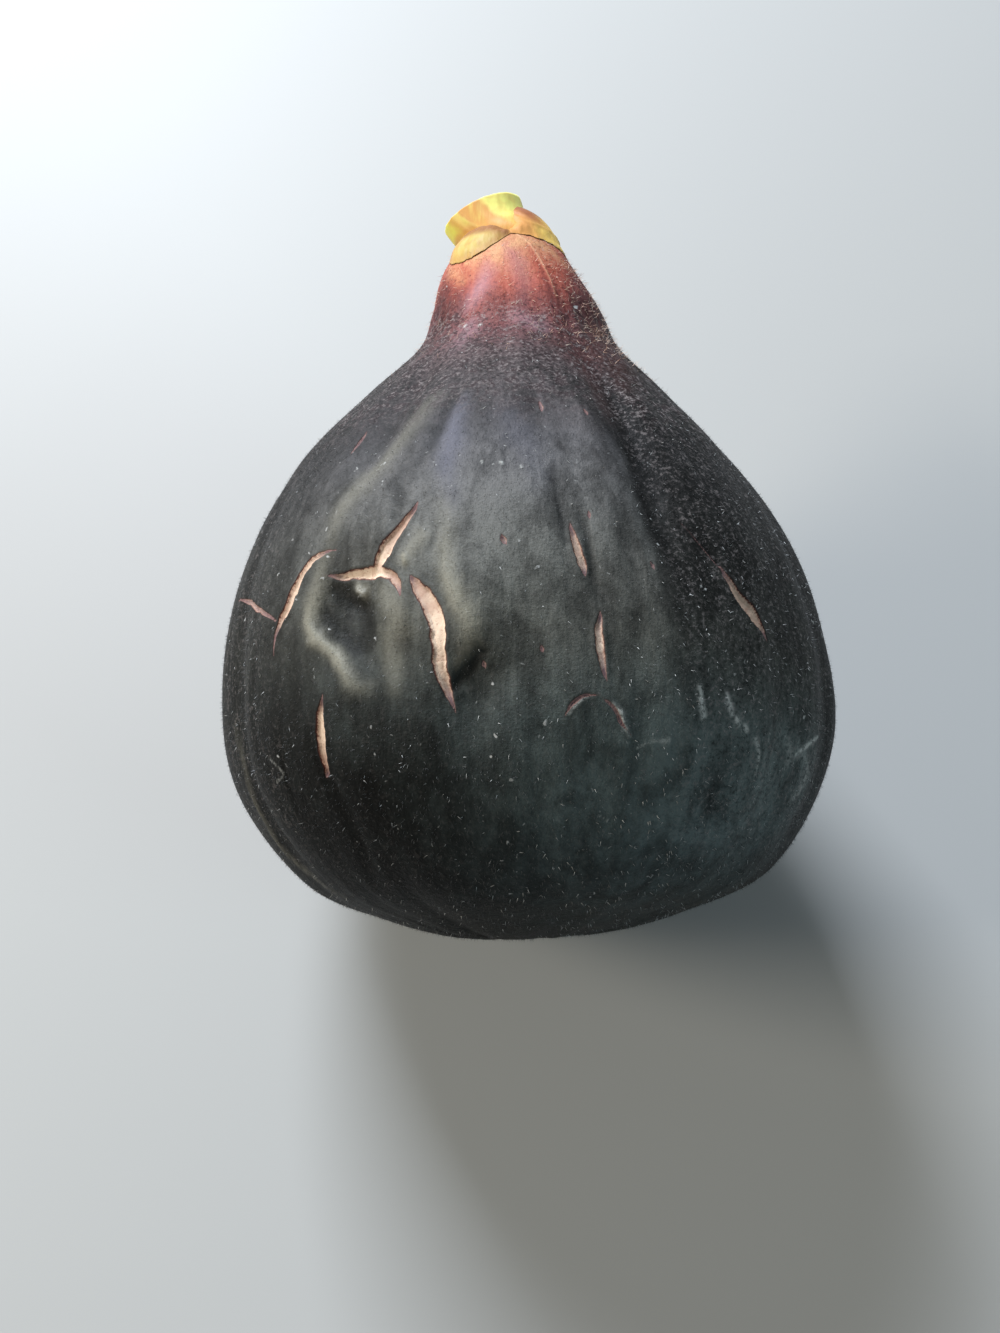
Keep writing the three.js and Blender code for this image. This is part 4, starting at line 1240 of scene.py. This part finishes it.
# %% Gloss and bump
# smoother where it is rubbed, and a fine bump of streaks, crumbs and flecks that stops at a tear
gloss = calc(tree, "SUBTRACT", 0.55, calc(tree, "MULTIPLY", amount(tree, "shine"), 0.18))
gloss = calc(tree, "ADD", gloss, calc(tree, "MULTIPLY", calc(tree, "SUBTRACT", clouds, 0.5), 0.25))
tree.links.new(gloss, shader.inputs["Roughness"])
relief_map = calc(tree, "MULTIPLY", dust, 0.4)
relief_map = calc(tree, "ADD", relief_map, calc(tree, "MULTIPLY", streaks, 1.0))
relief_map = calc(tree, "ADD", relief_map, calc(tree, "MULTIPLY", crumbs, 0.9))
relief_map = calc(tree, "ADD", relief_map, calc(tree, "MULTIPLY", large_flecks, 0.4))
whole_skin = calc(tree, "SUBTRACT", 1.0, calc(tree, "MULTIPLY", torn, 0.85))
relief_map = calc(tree, "ADD", product(relief_map, whole_skin), product(fibres, torn, 0.6))
bump = add(tree, "Bump", {"Height": relief_map, "Strength": 0.6, "Distance": 0.00012})
tree.links.new(bump.outputs["Normal"], shader.inputs["Normal"])
fig_skin.data.materials.append(paint)
print("the skin's finish has", len(tree.nodes), "nodes")

# %% [markdown]
# ## The stalk
# The stalk was cut a few millimetres above the neck. It is a short ridged stub that leans to
# the left, yellow from lack of green, and its cut face has dried a little hollow. A cylinder
# bent with a modifier would lean too, but a tube lofted through rings can take the rings from
# the same table as the solid, so it stays where the solid is.

# %% Stub of the stalk
# height, radius, sideways place, lean of the ring; the first ring is sunk in the neck
STALK_RINGS = [
    (62.3, 4.3, -2.1, 0.0),
    (63.5, 4.3, -2.2, 0.0),
    (64.5, 3.95, -3.1, 0.10),
    (65.5, 3.7, -3.9, 0.20),
    (66.7, 3.6, -4.4, 0.38),
]
STALK_RIDGES = 0.02
STALK_RIDGE_TURN = 35
# one corner of the stub stands out: turn, width in degrees, rise
STALK_CORNER = (125, 24, 0.4)
# the cut face is hollow by this much, inside a rim of this share of the radius
CUT_DISH = 0.35
CUT_RIM = 0.18
STUB_ROWS = 30
CUT_ROWS = 16
STUB_SIDES = 120


def stub_point(share, turn, inset=0.0):
    """The stub's side at a share of its length, or its cut face where inset is above 0."""
    height, radius, side, tip = np.moveaxis(along(STALK_RINGS, share), -1, 0)
    angle = np.radians(turn)
    corner, corner_width, corner_rise = STALK_CORNER
    reach = radius * (1 + STALK_RIDGES * np.cos(3 * np.radians(turn - STALK_RIDGE_TURN)))
    reach = reach + corner_rise * bell(turn_between(turn, corner), 0, corner_width)
    reach = reach + 0.05 * noise(np.cos(angle) * 7, np.sin(angle) * 7, height / 3, seed=41)
    reach = reach * (1 - inset)
    x = reach * np.sin(angle)
    up = ROUNDNESS * reach * np.cos(angle)
    dish = CUT_DISH * share * np.sin(np.minimum(inset / CUT_RIM, 1) * np.pi / 2) * (inset > 0)
    rough = 0.07 * noise(x * 2.2, up * 2.2, seed=42) * (inset > 0)
    return tip_back(side + x, up, height + tip * x - dish + rough) + move


def closed_rows(rows, first, last, name):
    """A closed mesh from rings of points with a middle point at each end, in mm."""
    rings, sides = rows.shape[:2]
    ring = np.arange(sides)
    after = (ring + 1) % sides
    faces = [(0, 1 + b, 1 + a) for a, b in zip(ring, after)]
    for row in range(rings - 1):
        low, high = 1 + row * sides, 1 + (row + 1) * sides
        faces += [(low + a, low + b, high + b, high + a) for a, b in zip(ring, after)]
    top = 1 + (rings - 1) * sides
    faces += [(top + a, top + b, top + sides) for a, b in zip(ring, after)]
    points = np.concatenate([[first], rows.reshape(-1, 3), [last]])
    mesh = bpy.data.meshes.new(name)
    mesh.from_pydata((points * MM).tolist(), [], faces)
    mesh.shade_smooth()
    return mesh


cut_edge = stub_point(np.ones(2), np.array([-90.0, 90.0]))
print("the cut face is", cut_edge[:, 2].round(1), "mm high at its left and right")

# %% Build the stub
stub_turn = 360 * np.arange(STUB_SIDES) / STUB_SIDES - 180
side_shares = [row / STUB_ROWS for row in range(STUB_ROWS + 1)]
side_rows = [stub_point(np.full(STUB_SIDES, share_up), stub_turn) for share_up in side_shares]
insets = np.linspace(0, 1, CUT_ROWS + 1)[1:-1] ** 1.3
cut_rows = [stub_point(np.ones(STUB_SIDES), stub_turn, inset) for inset in insets]
stub_mesh = closed_rows(
    np.array(side_rows + cut_rows),
    stub_point(np.zeros(1), np.zeros(1), 1.0)[0],
    stub_point(np.ones(1), np.zeros(1), 1.0)[0],
    "stalk_stub",
)
# For the paint, each ring's height and inset and each point's turn, with the two end points.
ring_heights = np.concatenate([side_shares, np.ones(len(cut_rows))])
ring_insets = np.concatenate([np.zeros(len(side_rows)), insets])
store(
    stub_mesh,
    stub_height=np.concatenate([[0.0], np.repeat(ring_heights, STUB_SIDES), [1.0]]),
    stub_inset=np.concatenate([[0.0], np.repeat(ring_insets, STUB_SIDES), [1.0]]),
    stub_turn=np.concatenate([[0.0], np.tile(stub_turn, len(ring_heights)), [0.0]]),
)
stalk_stub = put_in_scene("stalk_stub", stub_mesh)
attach(stalk_stub, "root")
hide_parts("stalk")
print("the stub has", len(stub_mesh.polygons), "faces")

# %% [markdown]
# ## The bracts
# Three bracts, small leaf-like scales, grow at the foot of the stalk. Their free edges lap down
# over the neck, thin, slightly curled and ending in a thin dark line. A single sheet would look
# like paint, and a Solidify modifier would make it as thick at its edge as in the middle. So each is
# a separate closed plate: an outer and an inner sheet of their own shapes, joined all round.

# %% Where the bracts lie, and closed plates
# heights of the free edge and of the top at the sides, where two bracts meet
BRACT_SEAM = 62.25
BRACT_SEAM_TOP = 62.6
# degrees by which each bract laps over the next
BRACT_LAP = 3
# middle turn, half width in degrees, height of the free edge and of the top, swelling,
# and how slowly it narrows to its sides
BRACTS = [
    (-39, 39, 59.5, 63.8, 0.50, 0.6),
    (66, 69, 61.8, 66.8, 0.95, 1.25),
    (205, 83, 60.9, 65.0, 0.50, 0.6),
]
BRACT_ROWS = 30
BRACT_SIDES = 110
# the inner sheet lies this deep in the neck, and the outer one stands this far from the inner
BRACT_SINK = 0.12
BRACT_THICKNESS = 0.17


def core_ring(height):
    """Radius and sideways place of what the bracts lie on: the neck, then the stub."""
    neck_ring = along(FRUIT_RINGS, fruit_share(np.minimum(height, NECK_TOP)))
    stub_ring = along(STALK_RINGS, share_at_height(STALK_RINGS, np.maximum(height, NECK_TOP)))
    blend = smooth_step(NECK_TOP - 0.6, NECK_TOP + 0.4, height)[..., None]
    ring = neck_ring * (1 - blend) + stub_ring[..., :3] * blend
    return ring[..., 1], ring[..., 2]


def plate_faces(rows, columns, start=0):
    """Faces of a closed plate whose outer sheet starts at an index and whose inner one follows."""
    below = rows * columns
    faces = []
    for a in range(rows - 1):
        for b in range(columns - 1):
            corner = start + a * columns + b
            quad = (corner, corner + 1, corner + columns + 1, corner + columns)
            faces.append(quad)
            faces.append(tuple(below + index for index in reversed(quad)))
    rim = [start + a * columns for a in range(rows)]
    rim += [start + (rows - 1) * columns + b for b in range(1, columns)]
    rim += [start + a * columns + columns - 1 for a in range(rows - 2, -1, -1)]
    rim += [start + b for b in range(columns - 2, 0, -1)]
    for a, b in zip(rim, rim[1:] + rim[:1]):
        faces.append((a, b, below + b, below + a))
    return faces


def turned_over(faces):
    """The same faces seen from the other side."""
    return [(face[0], *reversed(face[1:])) for face in faces]


print("a plate of 3 by 3 points has", len(plate_faces(3, 3)), "faces")

# %% Make the bracts
def make_bract(number, middle, half, edge, top, swelling, slowness):
    """One bract, from its row of the table, on a grid from side to side and from edge to top."""
    across, up_share = np.meshgrid(
        np.linspace(-1, 1, BRACT_SIDES), np.linspace(0, 1, BRACT_ROWS), indexing="ij"
    )
    turn = middle + across * (half + BRACT_LAP)
    fullness = np.cos(np.abs(across) * np.pi / 2)
    free_edge = BRACT_SEAM + (edge - BRACT_SEAM) * fullness ** 1.1
    free_edge = free_edge + 0.07 * noise(turn / 4, number, seed=51)
    free_edge = free_edge + 0.06 * noise(turn / 1.3, number, seed=52) * fullness
    top_edge = BRACT_SEAM_TOP + (top - BRACT_SEAM_TOP) * fullness ** slowness
    top_edge = top_edge + 0.06 * noise(turn / 5, number, seed=55)
    height = free_edge + (top_edge - free_edge) * up_share
    radius, side = core_ring(height)
    around = np.sin(np.radians(turn))
    # It runs straight from edge to top, so it bridges the hollow where the stub meets the neck.
    edge_radius, edge_side = core_ring(free_edge)
    top_radius, top_side = core_ring(top_edge)
    low, high = edge_radius + edge_side * around, top_radius + top_side * around
    straight = low + (high - low) * up_share
    hollow = np.maximum(straight - radius - side * around, 0)
    swell = np.sin(np.pi * up_share ** 1.45) ** 0.8 * (0.1 + 0.9 * fullness ** slowness)
    curl = 0.03 * np.exp(-((up_share / 0.08) ** 2)) * fullness
    wave = 0.03 * noise(turn / 4, height * 1.5, seed=54)
    sheets = []
    for outer in (BRACT_THICKNESS + hollow + swelling * swell + curl + wave, 0.0):
        reach = radius - BRACT_SINK + outer
        x = reach * around
        up = ROUNDNESS * reach * np.cos(np.radians(turn))
        sheets.append(tip_back(side + x, up, height) + move)
    sheet_points = np.concatenate([sheet.reshape(-1, 3) for sheet in sheets])
    mesh = bpy.data.meshes.new(f"bract_{number + 1}")
    faces = turned_over(plate_faces(BRACT_SIDES, BRACT_ROWS))
    mesh.from_pydata((sheet_points * MM).tolist(), [], faces)
    mesh.shade_smooth()
    store(
        mesh,
        from_edge=np.tile((height - free_edge).reshape(-1), 2),
        from_side=np.tile(((1 - np.abs(across)) * half).reshape(-1), 2),
        from_top=np.tile((top_edge - height).reshape(-1), 2),
        fig_turn=np.tile(turn.reshape(-1), 2),
    )
    bract = put_in_scene(mesh.name, mesh)
    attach(bract, "root")
    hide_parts("stalk")
    return bract


bracts = [make_bract(number, *row) for number, row in enumerate(BRACTS)]
print(len(bracts), "bracts of", len(bracts[0].data.polygons), "faces")

# %% [markdown]
# ## Finishes of the stalk and bracts
# Both are fresh plant tissue, smooth and softly glossy. The stub is lemon yellow with an orange
# stain, and greener on its left. The left bract is yellow with an orange side and a brown top,
# the right one is peach and yellow with a red-brown top, and both end in a thin dark brown line.
# All three bracts share one paint, which reads where on a bract it is and how far round the fig.
# Light sinking in and out again would be truer to thin plant tissue, but it blurs pieces this
# small, so the colours are plain and a little brighter instead.

# %% Colours of the stalk and bracts
LEMON = (0.960, 0.900, 0.250, 1)
STAIN_ORANGE = (0.740, 0.380, 0.110, 1)
OCHRE = (0.780, 0.490, 0.110, 1)
STALK_GREEN = (0.860, 0.820, 0.140, 1)
CUT_PALE = (0.430, 0.390, 0.180, 1)
PITH = (0.470, 0.420, 0.270, 1)
DRIED = (0.300, 0.180, 0.070, 1)
BRACT_CREAM = (0.590, 0.430, 0.120, 1)
BRACT_PALE = (0.680, 0.520, 0.230, 1)
BRACT_YELLOW = (0.540, 0.360, 0.095, 1)
BRACT_ORANGE = (0.480, 0.230, 0.080, 1)
RIGHT_PEACH = (0.740, 0.350, 0.110, 1)
RIGHT_YELLOW = (0.960, 0.630, 0.160, 1)
BRACT_TOP = (0.300, 0.120, 0.050, 1)
BRACT_RED = (0.300, 0.090, 0.050, 1)
EDGE_BROWN = (0.130, 0.065, 0.025, 1)
print("the left bract turns from", BRACT_CREAM[:3], "to", BRACT_YELLOW[:3])

# %% Paint of the stub
# yellows and the stain side by side, orange at the foot, and the cut face on top
stub_paint, tree, shader = new_paint("stalk_yellow", Roughness=0.45, Specular_IOR_Level=0.20)
place = fig_place(tree)
fibres = grain(tree, fig_place(tree, 6), 0.5, 3.0)
patches = grain(tree, place, 1.3, 2.0)
# The stain leans: it lies further round the stub towards its foot.
slanted = calc(tree, "SUBTRACT", amount(tree, "stub_turn"), product(amount(tree, "stub_height"), -18))
slanted = calc(tree, "ADD", slanted, calc(tree, "MULTIPLY", patches, 10))
colour = mix(tree, mask(tree, slanted, -10, -40), LEMON, OCHRE)
colour = mix(tree, mask(tree, slanted, -36, -52), colour, STALK_GREEN)
stain = product(mask(tree, slanted, -24, -17), mask(tree, slanted, 23, 12))
stain = product(stain, scaled(mask(tree, fibres, 0.25, 0.6), 0.6, 1.0))
colour = mix(tree, stain, colour, STAIN_ORANGE)
colour = mix(tree, product(mask(tree, patches, 0.42, 0.62), 0.3), colour, STAIN_ORANGE)
foot = mask(tree, amount(tree, "stub_height"), 0.62, 0.42)
colour = mix(tree, product(foot, 0.7), colour, STAIN_ORANGE)
inset = amount(tree, "stub_inset")
cut = mix(tree, mask(tree, inset, 0.45, 0.6), CUT_PALE, PITH)
cut = mix(tree, mask(tree, grain(tree, place, 0.5, 4.0), 0.5, 0.75), cut, DRIED)
colour = mix(tree, mask(tree, inset, 0.0, 0.04), colour, cut)
tree.links.new(colour, shader.inputs["Base Color"])
bump = add(tree, "Bump", {"Height": fibres, "Strength": 0.25, "Distance": 0.0002})
tree.links.new(bump.outputs["Normal"], shader.inputs["Normal"])
stalk_stub.data.materials.append(stub_paint)
print("the stub's paint has", len(tree.nodes), "nodes")

# %% Paint of the bracts
# the left ones, then the right one over them, then the browner tops and the dark line at the free edge
bract_paint, tree, shader = new_paint("bract_yellow", Roughness=0.50, Specular_IOR_Level=0.15)
place = fig_place(tree)
fibres = grain(tree, fig_place(tree, 5), 0.45, 3.0)
blotches = grain(tree, place, 0.9, 3.0)
turn_round = calc(tree, "ADD", amount(tree, "fig_turn"), product(blotches, 14))
colour = mix(tree, mask(tree, amount(tree, "from_side"), 34, 14), BRACT_CREAM, BRACT_YELLOW)
colour = mix(tree, product(mask(tree, blotches, 0.45, 0.7), 0.5), colour, BRACT_ORANGE)
right_bract = mask(tree, amount(tree, "fig_turn"), -2, 1)
low_right = product(mask(tree, amount(tree, "from_edge"), 2.6, 1.2), mask(tree, turn_round, 26, 48))
low_right = calc(tree, "MAXIMUM", low_right, mask(tree, turn_round, 46, 70))
on_right = mix(tree, low_right, RIGHT_PEACH, RIGHT_YELLOW)
colour = mix(tree, product(mask(tree, fibres, 0.42, 0.66), 0.45), colour, BRACT_PALE)
colour = mix(tree, product(mask(tree, amount(tree, "from_edge"), 1.3, 0.4), 0.5), colour, BRACT_ORANGE)
colour = mix(tree, right_bract, colour, on_right)
# browner towards the top, where the bract meets the stub
brown_top = mask(tree, calc(tree, "ADD", amount(tree, "from_top"), product(blotches, 0.8)), 2.30, 1.10)
colour = mix(tree, product(brown_top, scaled(right_bract, 0.9, 0.1)), colour, BRACT_TOP)
red_top = product(mask(tree, amount(tree, "from_top"), 2.6, 1.1), right_bract)
colour = mix(tree, product(red_top, mask(tree, turn_round, 30, 52), 0.85), colour, BRACT_RED)
colour = mix(tree, mask(tree, turn_round, -44, -60), colour, BRACT_ORANGE)
colour = mix(tree, mask(tree, turn_round, 110, 145), colour, BRACT_RED)
# a thin dark brown line along the free edge
edge = calc(tree, "ADD", amount(tree, "from_edge"), product(fibres, 0.14))
dark_edge_line = product(
    mask(tree, edge, 0.15, 0.08),
    mask(tree, amount(tree, "from_side"), 3, 7),
    mask(tree, turn_round, -54, -48),
    scaled(mask(tree, blotches, 0.34, 0.50), 0.45, 1.0),
)
colour = mix(tree, dark_edge_line, colour, EDGE_BROWN)
tree.links.new(colour, shader.inputs["Base Color"])
bump = add(tree, "Bump", {"Height": fibres, "Strength": 0.3, "Distance": 0.0002})
tree.links.new(bump.outputs["Normal"], shader.inputs["Normal"])
for bract in bracts:
    bract.data.materials.append(bract_paint)
print("the bracts' paint has", len(tree.nodes), "nodes")

# %% [markdown]
# ## The eye
# The opening at the broad end is closed by small overlapping scales. Each is a pointed, cupped
# plate, placed by a loop in three rings that lap inwards like tiles. They could be instances of
# one scale, but no two real ones are alike. They are fused into one mesh, because they are small
# and all the same colour.

# %% Scales of the eye
# scales in the ring, distance of their roots from the axis, lean, height of the root
EYE_RINGS = [(9, 2.65, 4, 1.42), (7, 2.00, 10, 1.36), (5, 1.32, 18, 1.28)]
SCALE_LENGTH = 1.75
SCALE_WIDTH = 1.65
SCALE_STEPS = 12
# thickness at the middle of the root, and how far the middle stands up
SCALE_THICKNESS = 0.28
SCALE_CUP = 0.32


def scale_points(angle, root, lean, face, seed):
    """Outer and inner sheets of one scale, root outside and tip towards the axis, in mm."""
    u, v = np.meshgrid(np.linspace(0, 1, SCALE_STEPS), np.linspace(-1, 1, SCALE_STEPS), indexing="ij")
    half = SCALE_WIDTH / 2 * np.cos(u * np.pi / 2) ** 0.6
    wave = 1 + 0.12 * noise(seed, seed * 0.7)
    inward = root - u * SCALE_LENGTH * wave
    sideways = v * half
    cup = SCALE_CUP * (1 - v * v) * (1 - 0.5 * u)
    rise = math.tan(math.radians(lean)) * u * SCALE_LENGTH + cup
    sheets = []
    for layer in (SCALE_THICKNESS, 0.0):
        height = face - rise - layer * (1 - 0.6 * u) * (1 - 0.5 * np.abs(v))
        x = inward * math.cos(angle) - sideways * math.sin(angle)
        up = inward * math.sin(angle) + sideways * math.cos(angle)
        sheets.append(np.stack([x, up, height], -1))
    return sheets


print("each scale has", len(plate_faces(SCALE_STEPS, SCALE_STEPS)), "faces")

# %% Place the scales
eye_points, eye_faces, tip_share = [], [], []
for ring, (count, root, lean, face) in enumerate(EYE_RINGS):
    for index in range(count):
        seed = 10 * ring + index
        angle = 2 * math.pi * (index + 0.5 * ring + 0.12 * float(noise(seed * 0.9, ring))) / count
        sheets = scale_points(angle, root, lean, face, seed)
        start = sum(len(block) for block in eye_points)
        eye_faces += plate_faces(SCALE_STEPS, SCALE_STEPS, start)
        eye_points += [sheet.reshape(-1, 3) for sheet in sheets]
        tip_share += [np.repeat(np.linspace(0, 1, SCALE_STEPS), SCALE_STEPS)] * 2
own = np.concatenate(eye_points)
eye_mesh = bpy.data.meshes.new("eye_scales")
placed = tip_back(own[:, 0], own[:, 1], own[:, 2]) + move
eye_mesh.from_pydata((placed * MM).tolist(), [], eye_faces)
eye_mesh.shade_smooth()
store(eye_mesh, tip_share=np.concatenate(tip_share))
print(sum(ring[0] for ring in EYE_RINGS), "scales close the eye")

# %% Finish of the eye
EYE_BROWN = (0.070, 0.022, 0.018, 1)
EYE_TIP = (0.330, 0.150, 0.085, 1)
eye_paint, tree, shader = new_paint("eye_brown", Roughness=0.6, Specular_IOR_Level=0.35)
fibres = grain(tree, fig_place(tree), 0.35, 3.0)
colour = mix(tree, mask(tree, amount(tree, "tip_share"), 0.25, 0.80), EYE_BROWN, EYE_TIP)
colour = mix(tree, mask(tree, fibres, 0.45, 0.75), colour, opaque(TORN_BROWN))
tree.links.new(colour, shader.inputs["Base Color"])
bump = add(tree, "Bump", {"Height": fibres, "Strength": 0.5, "Distance": 0.00015})
tree.links.new(bump.outputs["Normal"], shader.inputs["Normal"])
eye_scales = put_in_scene("eye_scales", eye_mesh)
eye_mesh.materials.append(eye_paint)
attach(eye_scales, "root")
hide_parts("eye")
print("the eye's paint has", len(tree.nodes), "nodes")

# %% [markdown]
# ## Down
# Fig skin feels like velvet because it is covered with short stiff hairs. Blender's hair curves
# are the usual way, but they don't leave Blender, so each hair here is a slim closed spike of
# four faces. Their roots are drawn at random over the skin, by area and with a fixed seed.

# %% Hairs, and triangles of skin for their roots
# hairs, length, width, and how far they lean
VELVET = (40000, 0.32, 0.028, 0.55)
NECK_HAIRS = (1500, 0.75, 0.040, 0.7)
FLECKS = (7000, 0.38, 0.060, 2.5)
# no roots nearer than this to a torn edge or to the table, and this deep in the skin
CLEAR_OF_TEAR = 0.12
CLEAR_OF_TABLE = 0.4
ROOT_DEPTH = 0.02

rng = np.random.default_rng(20)
skin_mesh.calc_loop_triangles()
corner_indices = np.empty(len(skin_mesh.loop_triangles) * 3, int)
skin_mesh.loop_triangles.foreach_get("vertices", corner_indices)
triangles = corner_indices.reshape(-1, 3)
corners = points[triangles]
sides = corners[:, 1:] - corners[:, :1]
areas = np.linalg.norm(np.cross(sides[:, 0], sides[:, 1]), axis=1) / 2
print(len(triangles), "triangles to draw the roots from")

# %% Spikes on the skin
# three feet and a tip, which comes last
SPIKE_FACES = [(0, 1, 3), (1, 2, 3), (2, 0, 3), (0, 2, 1)]


def scatter(count, weight):
    """Random places on the skin, more where the weight is higher: points and outward directions."""
    chance = areas * weight(height[triangles].mean(1), turn[triangles].mean(1))
    chance = chance * (near["edge"][triangles].min(1) > CLEAR_OF_TEAR)
    chance = chance * (share[triangles].min(1) > PAST_EYE)
    chance = chance * (corners[:, :, 2].min(1) > CLEAR_OF_TABLE)
    chosen = rng.choice(len(triangles), count, p=chance / chance.sum())
    mixed = rng.dirichlet((1, 1, 1), count)[:, :, None]
    root = (corners[chosen] * mixed).sum(1)
    out = (outward[triangles[chosen]] * mixed).sum(1)
    return root, out / np.linalg.norm(out, axis=1, keepdims=True)


def spikes(name, weight, count, length, width, lean):
    """A mesh of slim four-faced spikes whose tips lean towards the eye and at random."""
    root, out = scatter(count, weight)
    to_eye = -tip_back(0, 0, 1)
    sway = rng.normal(size=(count, 3)) * lean + to_eye * lean * 0.8
    direction = out + sway
    direction /= np.linalg.norm(direction, axis=1, keepdims=True)
    size = rng.uniform(0.5, 1.0, count)[:, None]
    tip = root + direction * length * size
    first = np.cross(direction, rng.normal(size=(count, 3)))
    first /= np.linalg.norm(first, axis=1, keepdims=True)
    second = np.cross(direction, first)
    base = root - out * ROOT_DEPTH
    legs = [math.radians(angle) for angle in (90, 210, 330)]
    feet = [base + width / 2 * (math.cos(a) * first + math.sin(a) * second) for a in legs]
    blocks = np.stack(feet + [tip], 1).reshape(-1, 3)
    start = 4 * np.arange(count)[:, None]
    faces = np.concatenate([start + np.array(face) for face in SPIKE_FACES])
    mesh = bpy.data.meshes.new(name)
    mesh.from_pydata((blocks * MM).tolist(), [], faces.tolist())
    piece = put_in_scene(name, mesh)
    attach(piece, "root")
    return piece


print("each hair has", len(SPIKE_FACES), "faces")

# %% Where the hairs grow
def on_body(heights, turns):
    """Velvet all over the body, thinner on the neck and at two places on its foot."""
    thinned = 0.7 * bell(heights, 49, 6) * bell(turns, 32, 24)
    thinned += 0.45 * bell(heights, 47, 6) * bell(turns, -20, 40)
    return (1 - 0.85 * smooth_step(49, 54, heights)) * (1 - thinned)


def on_neck(heights, turns):
    """Longer hairs on the neck, most of them on its right side."""
    right_side = 0.25 + bell(turns, 45, 40)
    return smooth_step(46, 53, heights) * (1 - smooth_step(61.5, 62.5, heights)) * right_side


def on_flecked(heights, turns):
    """Flecks all over, more down the right flank, on the far left and low in front."""
    right_side = smooth_step(5, 30, turns) + 0.3 * smooth_step(-45, -60, turns)
    low = 0.4 * (1 - smooth_step(14, 24, heights)) * smooth_step(-40, 0, turns)
    return (0.25 + right_side + low) * (1 - 0.9 * smooth_step(50, 55, heights))


velvet = spikes("velvet_down", on_body, *VELVET)
golden = spikes("neck_down", on_neck, *NECK_HAIRS)
flecks = spikes("pale_flecks", on_flecked, *FLECKS)
print("faces of down:", [len(piece.data.polygons) for piece in (velvet, golden, flecks)])

# %% Finish of the hairs
# each kind drifts between a dark and a pale tone
GREY_HAIR = [(0.080, 0.081, 0.082), (0.160, 0.162, 0.165)]
GOLDEN_HAIR = [(0.860, 0.560, 0.420), (0.900, 0.760, 0.640)]
PALE_HAIR = [(0.300, 0.300, 0.290), (0.560, 0.570, 0.570)]


def down_paint(name, piece, colours, patch):
    """A finish for hairs that drifts between two colours, in patches of a size in mm."""
    material, tree, shader = new_paint(name, Roughness=0.55, Specular_IOR_Level=0.25)
    drift = grain(tree, fig_place(tree), patch, 2.0)
    tones = [opaque(tone) for tone in colours]
    hair_colour = mix(tree, mask(tree, drift, 0.35, 0.65), *tones)
    tree.links.new(hair_colour, shader.inputs["Base Color"])
    piece.data.materials.append(material)


down_paint("pale_down", velvet, GREY_HAIR, 1.5)
down_paint("golden_down", golden, GOLDEN_HAIR, 0.8)
down_paint("pale_fleck", flecks, PALE_HAIR, 0.6)
print("finishes of the hairs:", [piece.active_material.name for piece in (velvet, golden, flecks)])

# %% [markdown]
# ## Floor and light
# A plain pale floor and soft lights, as in a small studio. The large cool light stands behind,
# as a window would, and rakes over the shoulders towards the camera. A warm one comes from the
# upper left and a weak cool one fills the right. A picture of a room wrapped round the scene
# would give richer reflections, but velvet shows next to none.

# %% Floor
HALF_FLOOR = 1.5
FLOOR_COLOUR = (0.48, 0.48, 0.47)
floor_corners = [(x * HALF_FLOOR, y * HALF_FLOOR, 0) for x, y in ((-1, -1), (1, -1), (1, 1), (-1, 1))]
floor_mesh = bpy.data.meshes.new("floor")
floor_mesh.from_pydata(floor_corners, [], [(0, 1, 2, 3)])
floor = put_in_scene("floor", floor_mesh)
floor_paint, tree, shader = new_paint("pale_floor", Roughness=0.6, Specular_IOR_Level=0.3)
shader.inputs["Base Color"].default_value = opaque(FLOOR_COLOUR)
floor_mesh.materials.append(floor_paint)
print("the floor is", 2 * HALF_FLOOR, "m wide")

# %% Lights
COOL_DAYLIGHT = (0.84, 0.91, 1.0)
WARM_LAMP = (1.0, 0.93, 0.80)
TEAL_FILL = (0.70, 0.93, 1.0)
ROOM_LIGHT = (0.90, 0.94, 1.0)
ROOM_STRENGTH = 0.10


def area_light(name, place_from_fig, size, power, colour):
    """A square soft light that looks at the fig's middle. Places and sizes are in mm."""
    data = bpy.data.lights.new(name, "AREA")
    data.size = size * MM
    data.energy = power
    data.color = colour
    light = put_in_scene(name, data)
    target = Vector(aim * MM)
    light.location = target + Vector(place_from_fig) * MM
    light.rotation_euler = (target - light.location).to_track_quat("-Z", "Y").to_euler()


area_light("window_behind", (-190, 420, 330), size=220, power=5.2, colour=COOL_DAYLIGHT)
area_light("warm_left", (-420, -20, 230), size=160, power=1.4, colour=WARM_LAMP)
area_light("cool_right", (420, -200, 260), size=200, power=0.5, colour=TEAL_FILL)

world = bpy.data.worlds.new("studio")
bpy.context.scene.world = world
world.use_nodes = True
background = world.node_tree.nodes["Background"]
background.inputs["Color"].default_value = opaque(ROOM_LIGHT)
background.inputs["Strength"].default_value = ROOM_STRENGTH
bpy.context.scene.view_settings.view_transform = "Standard"
print("three lights and a pale floor")
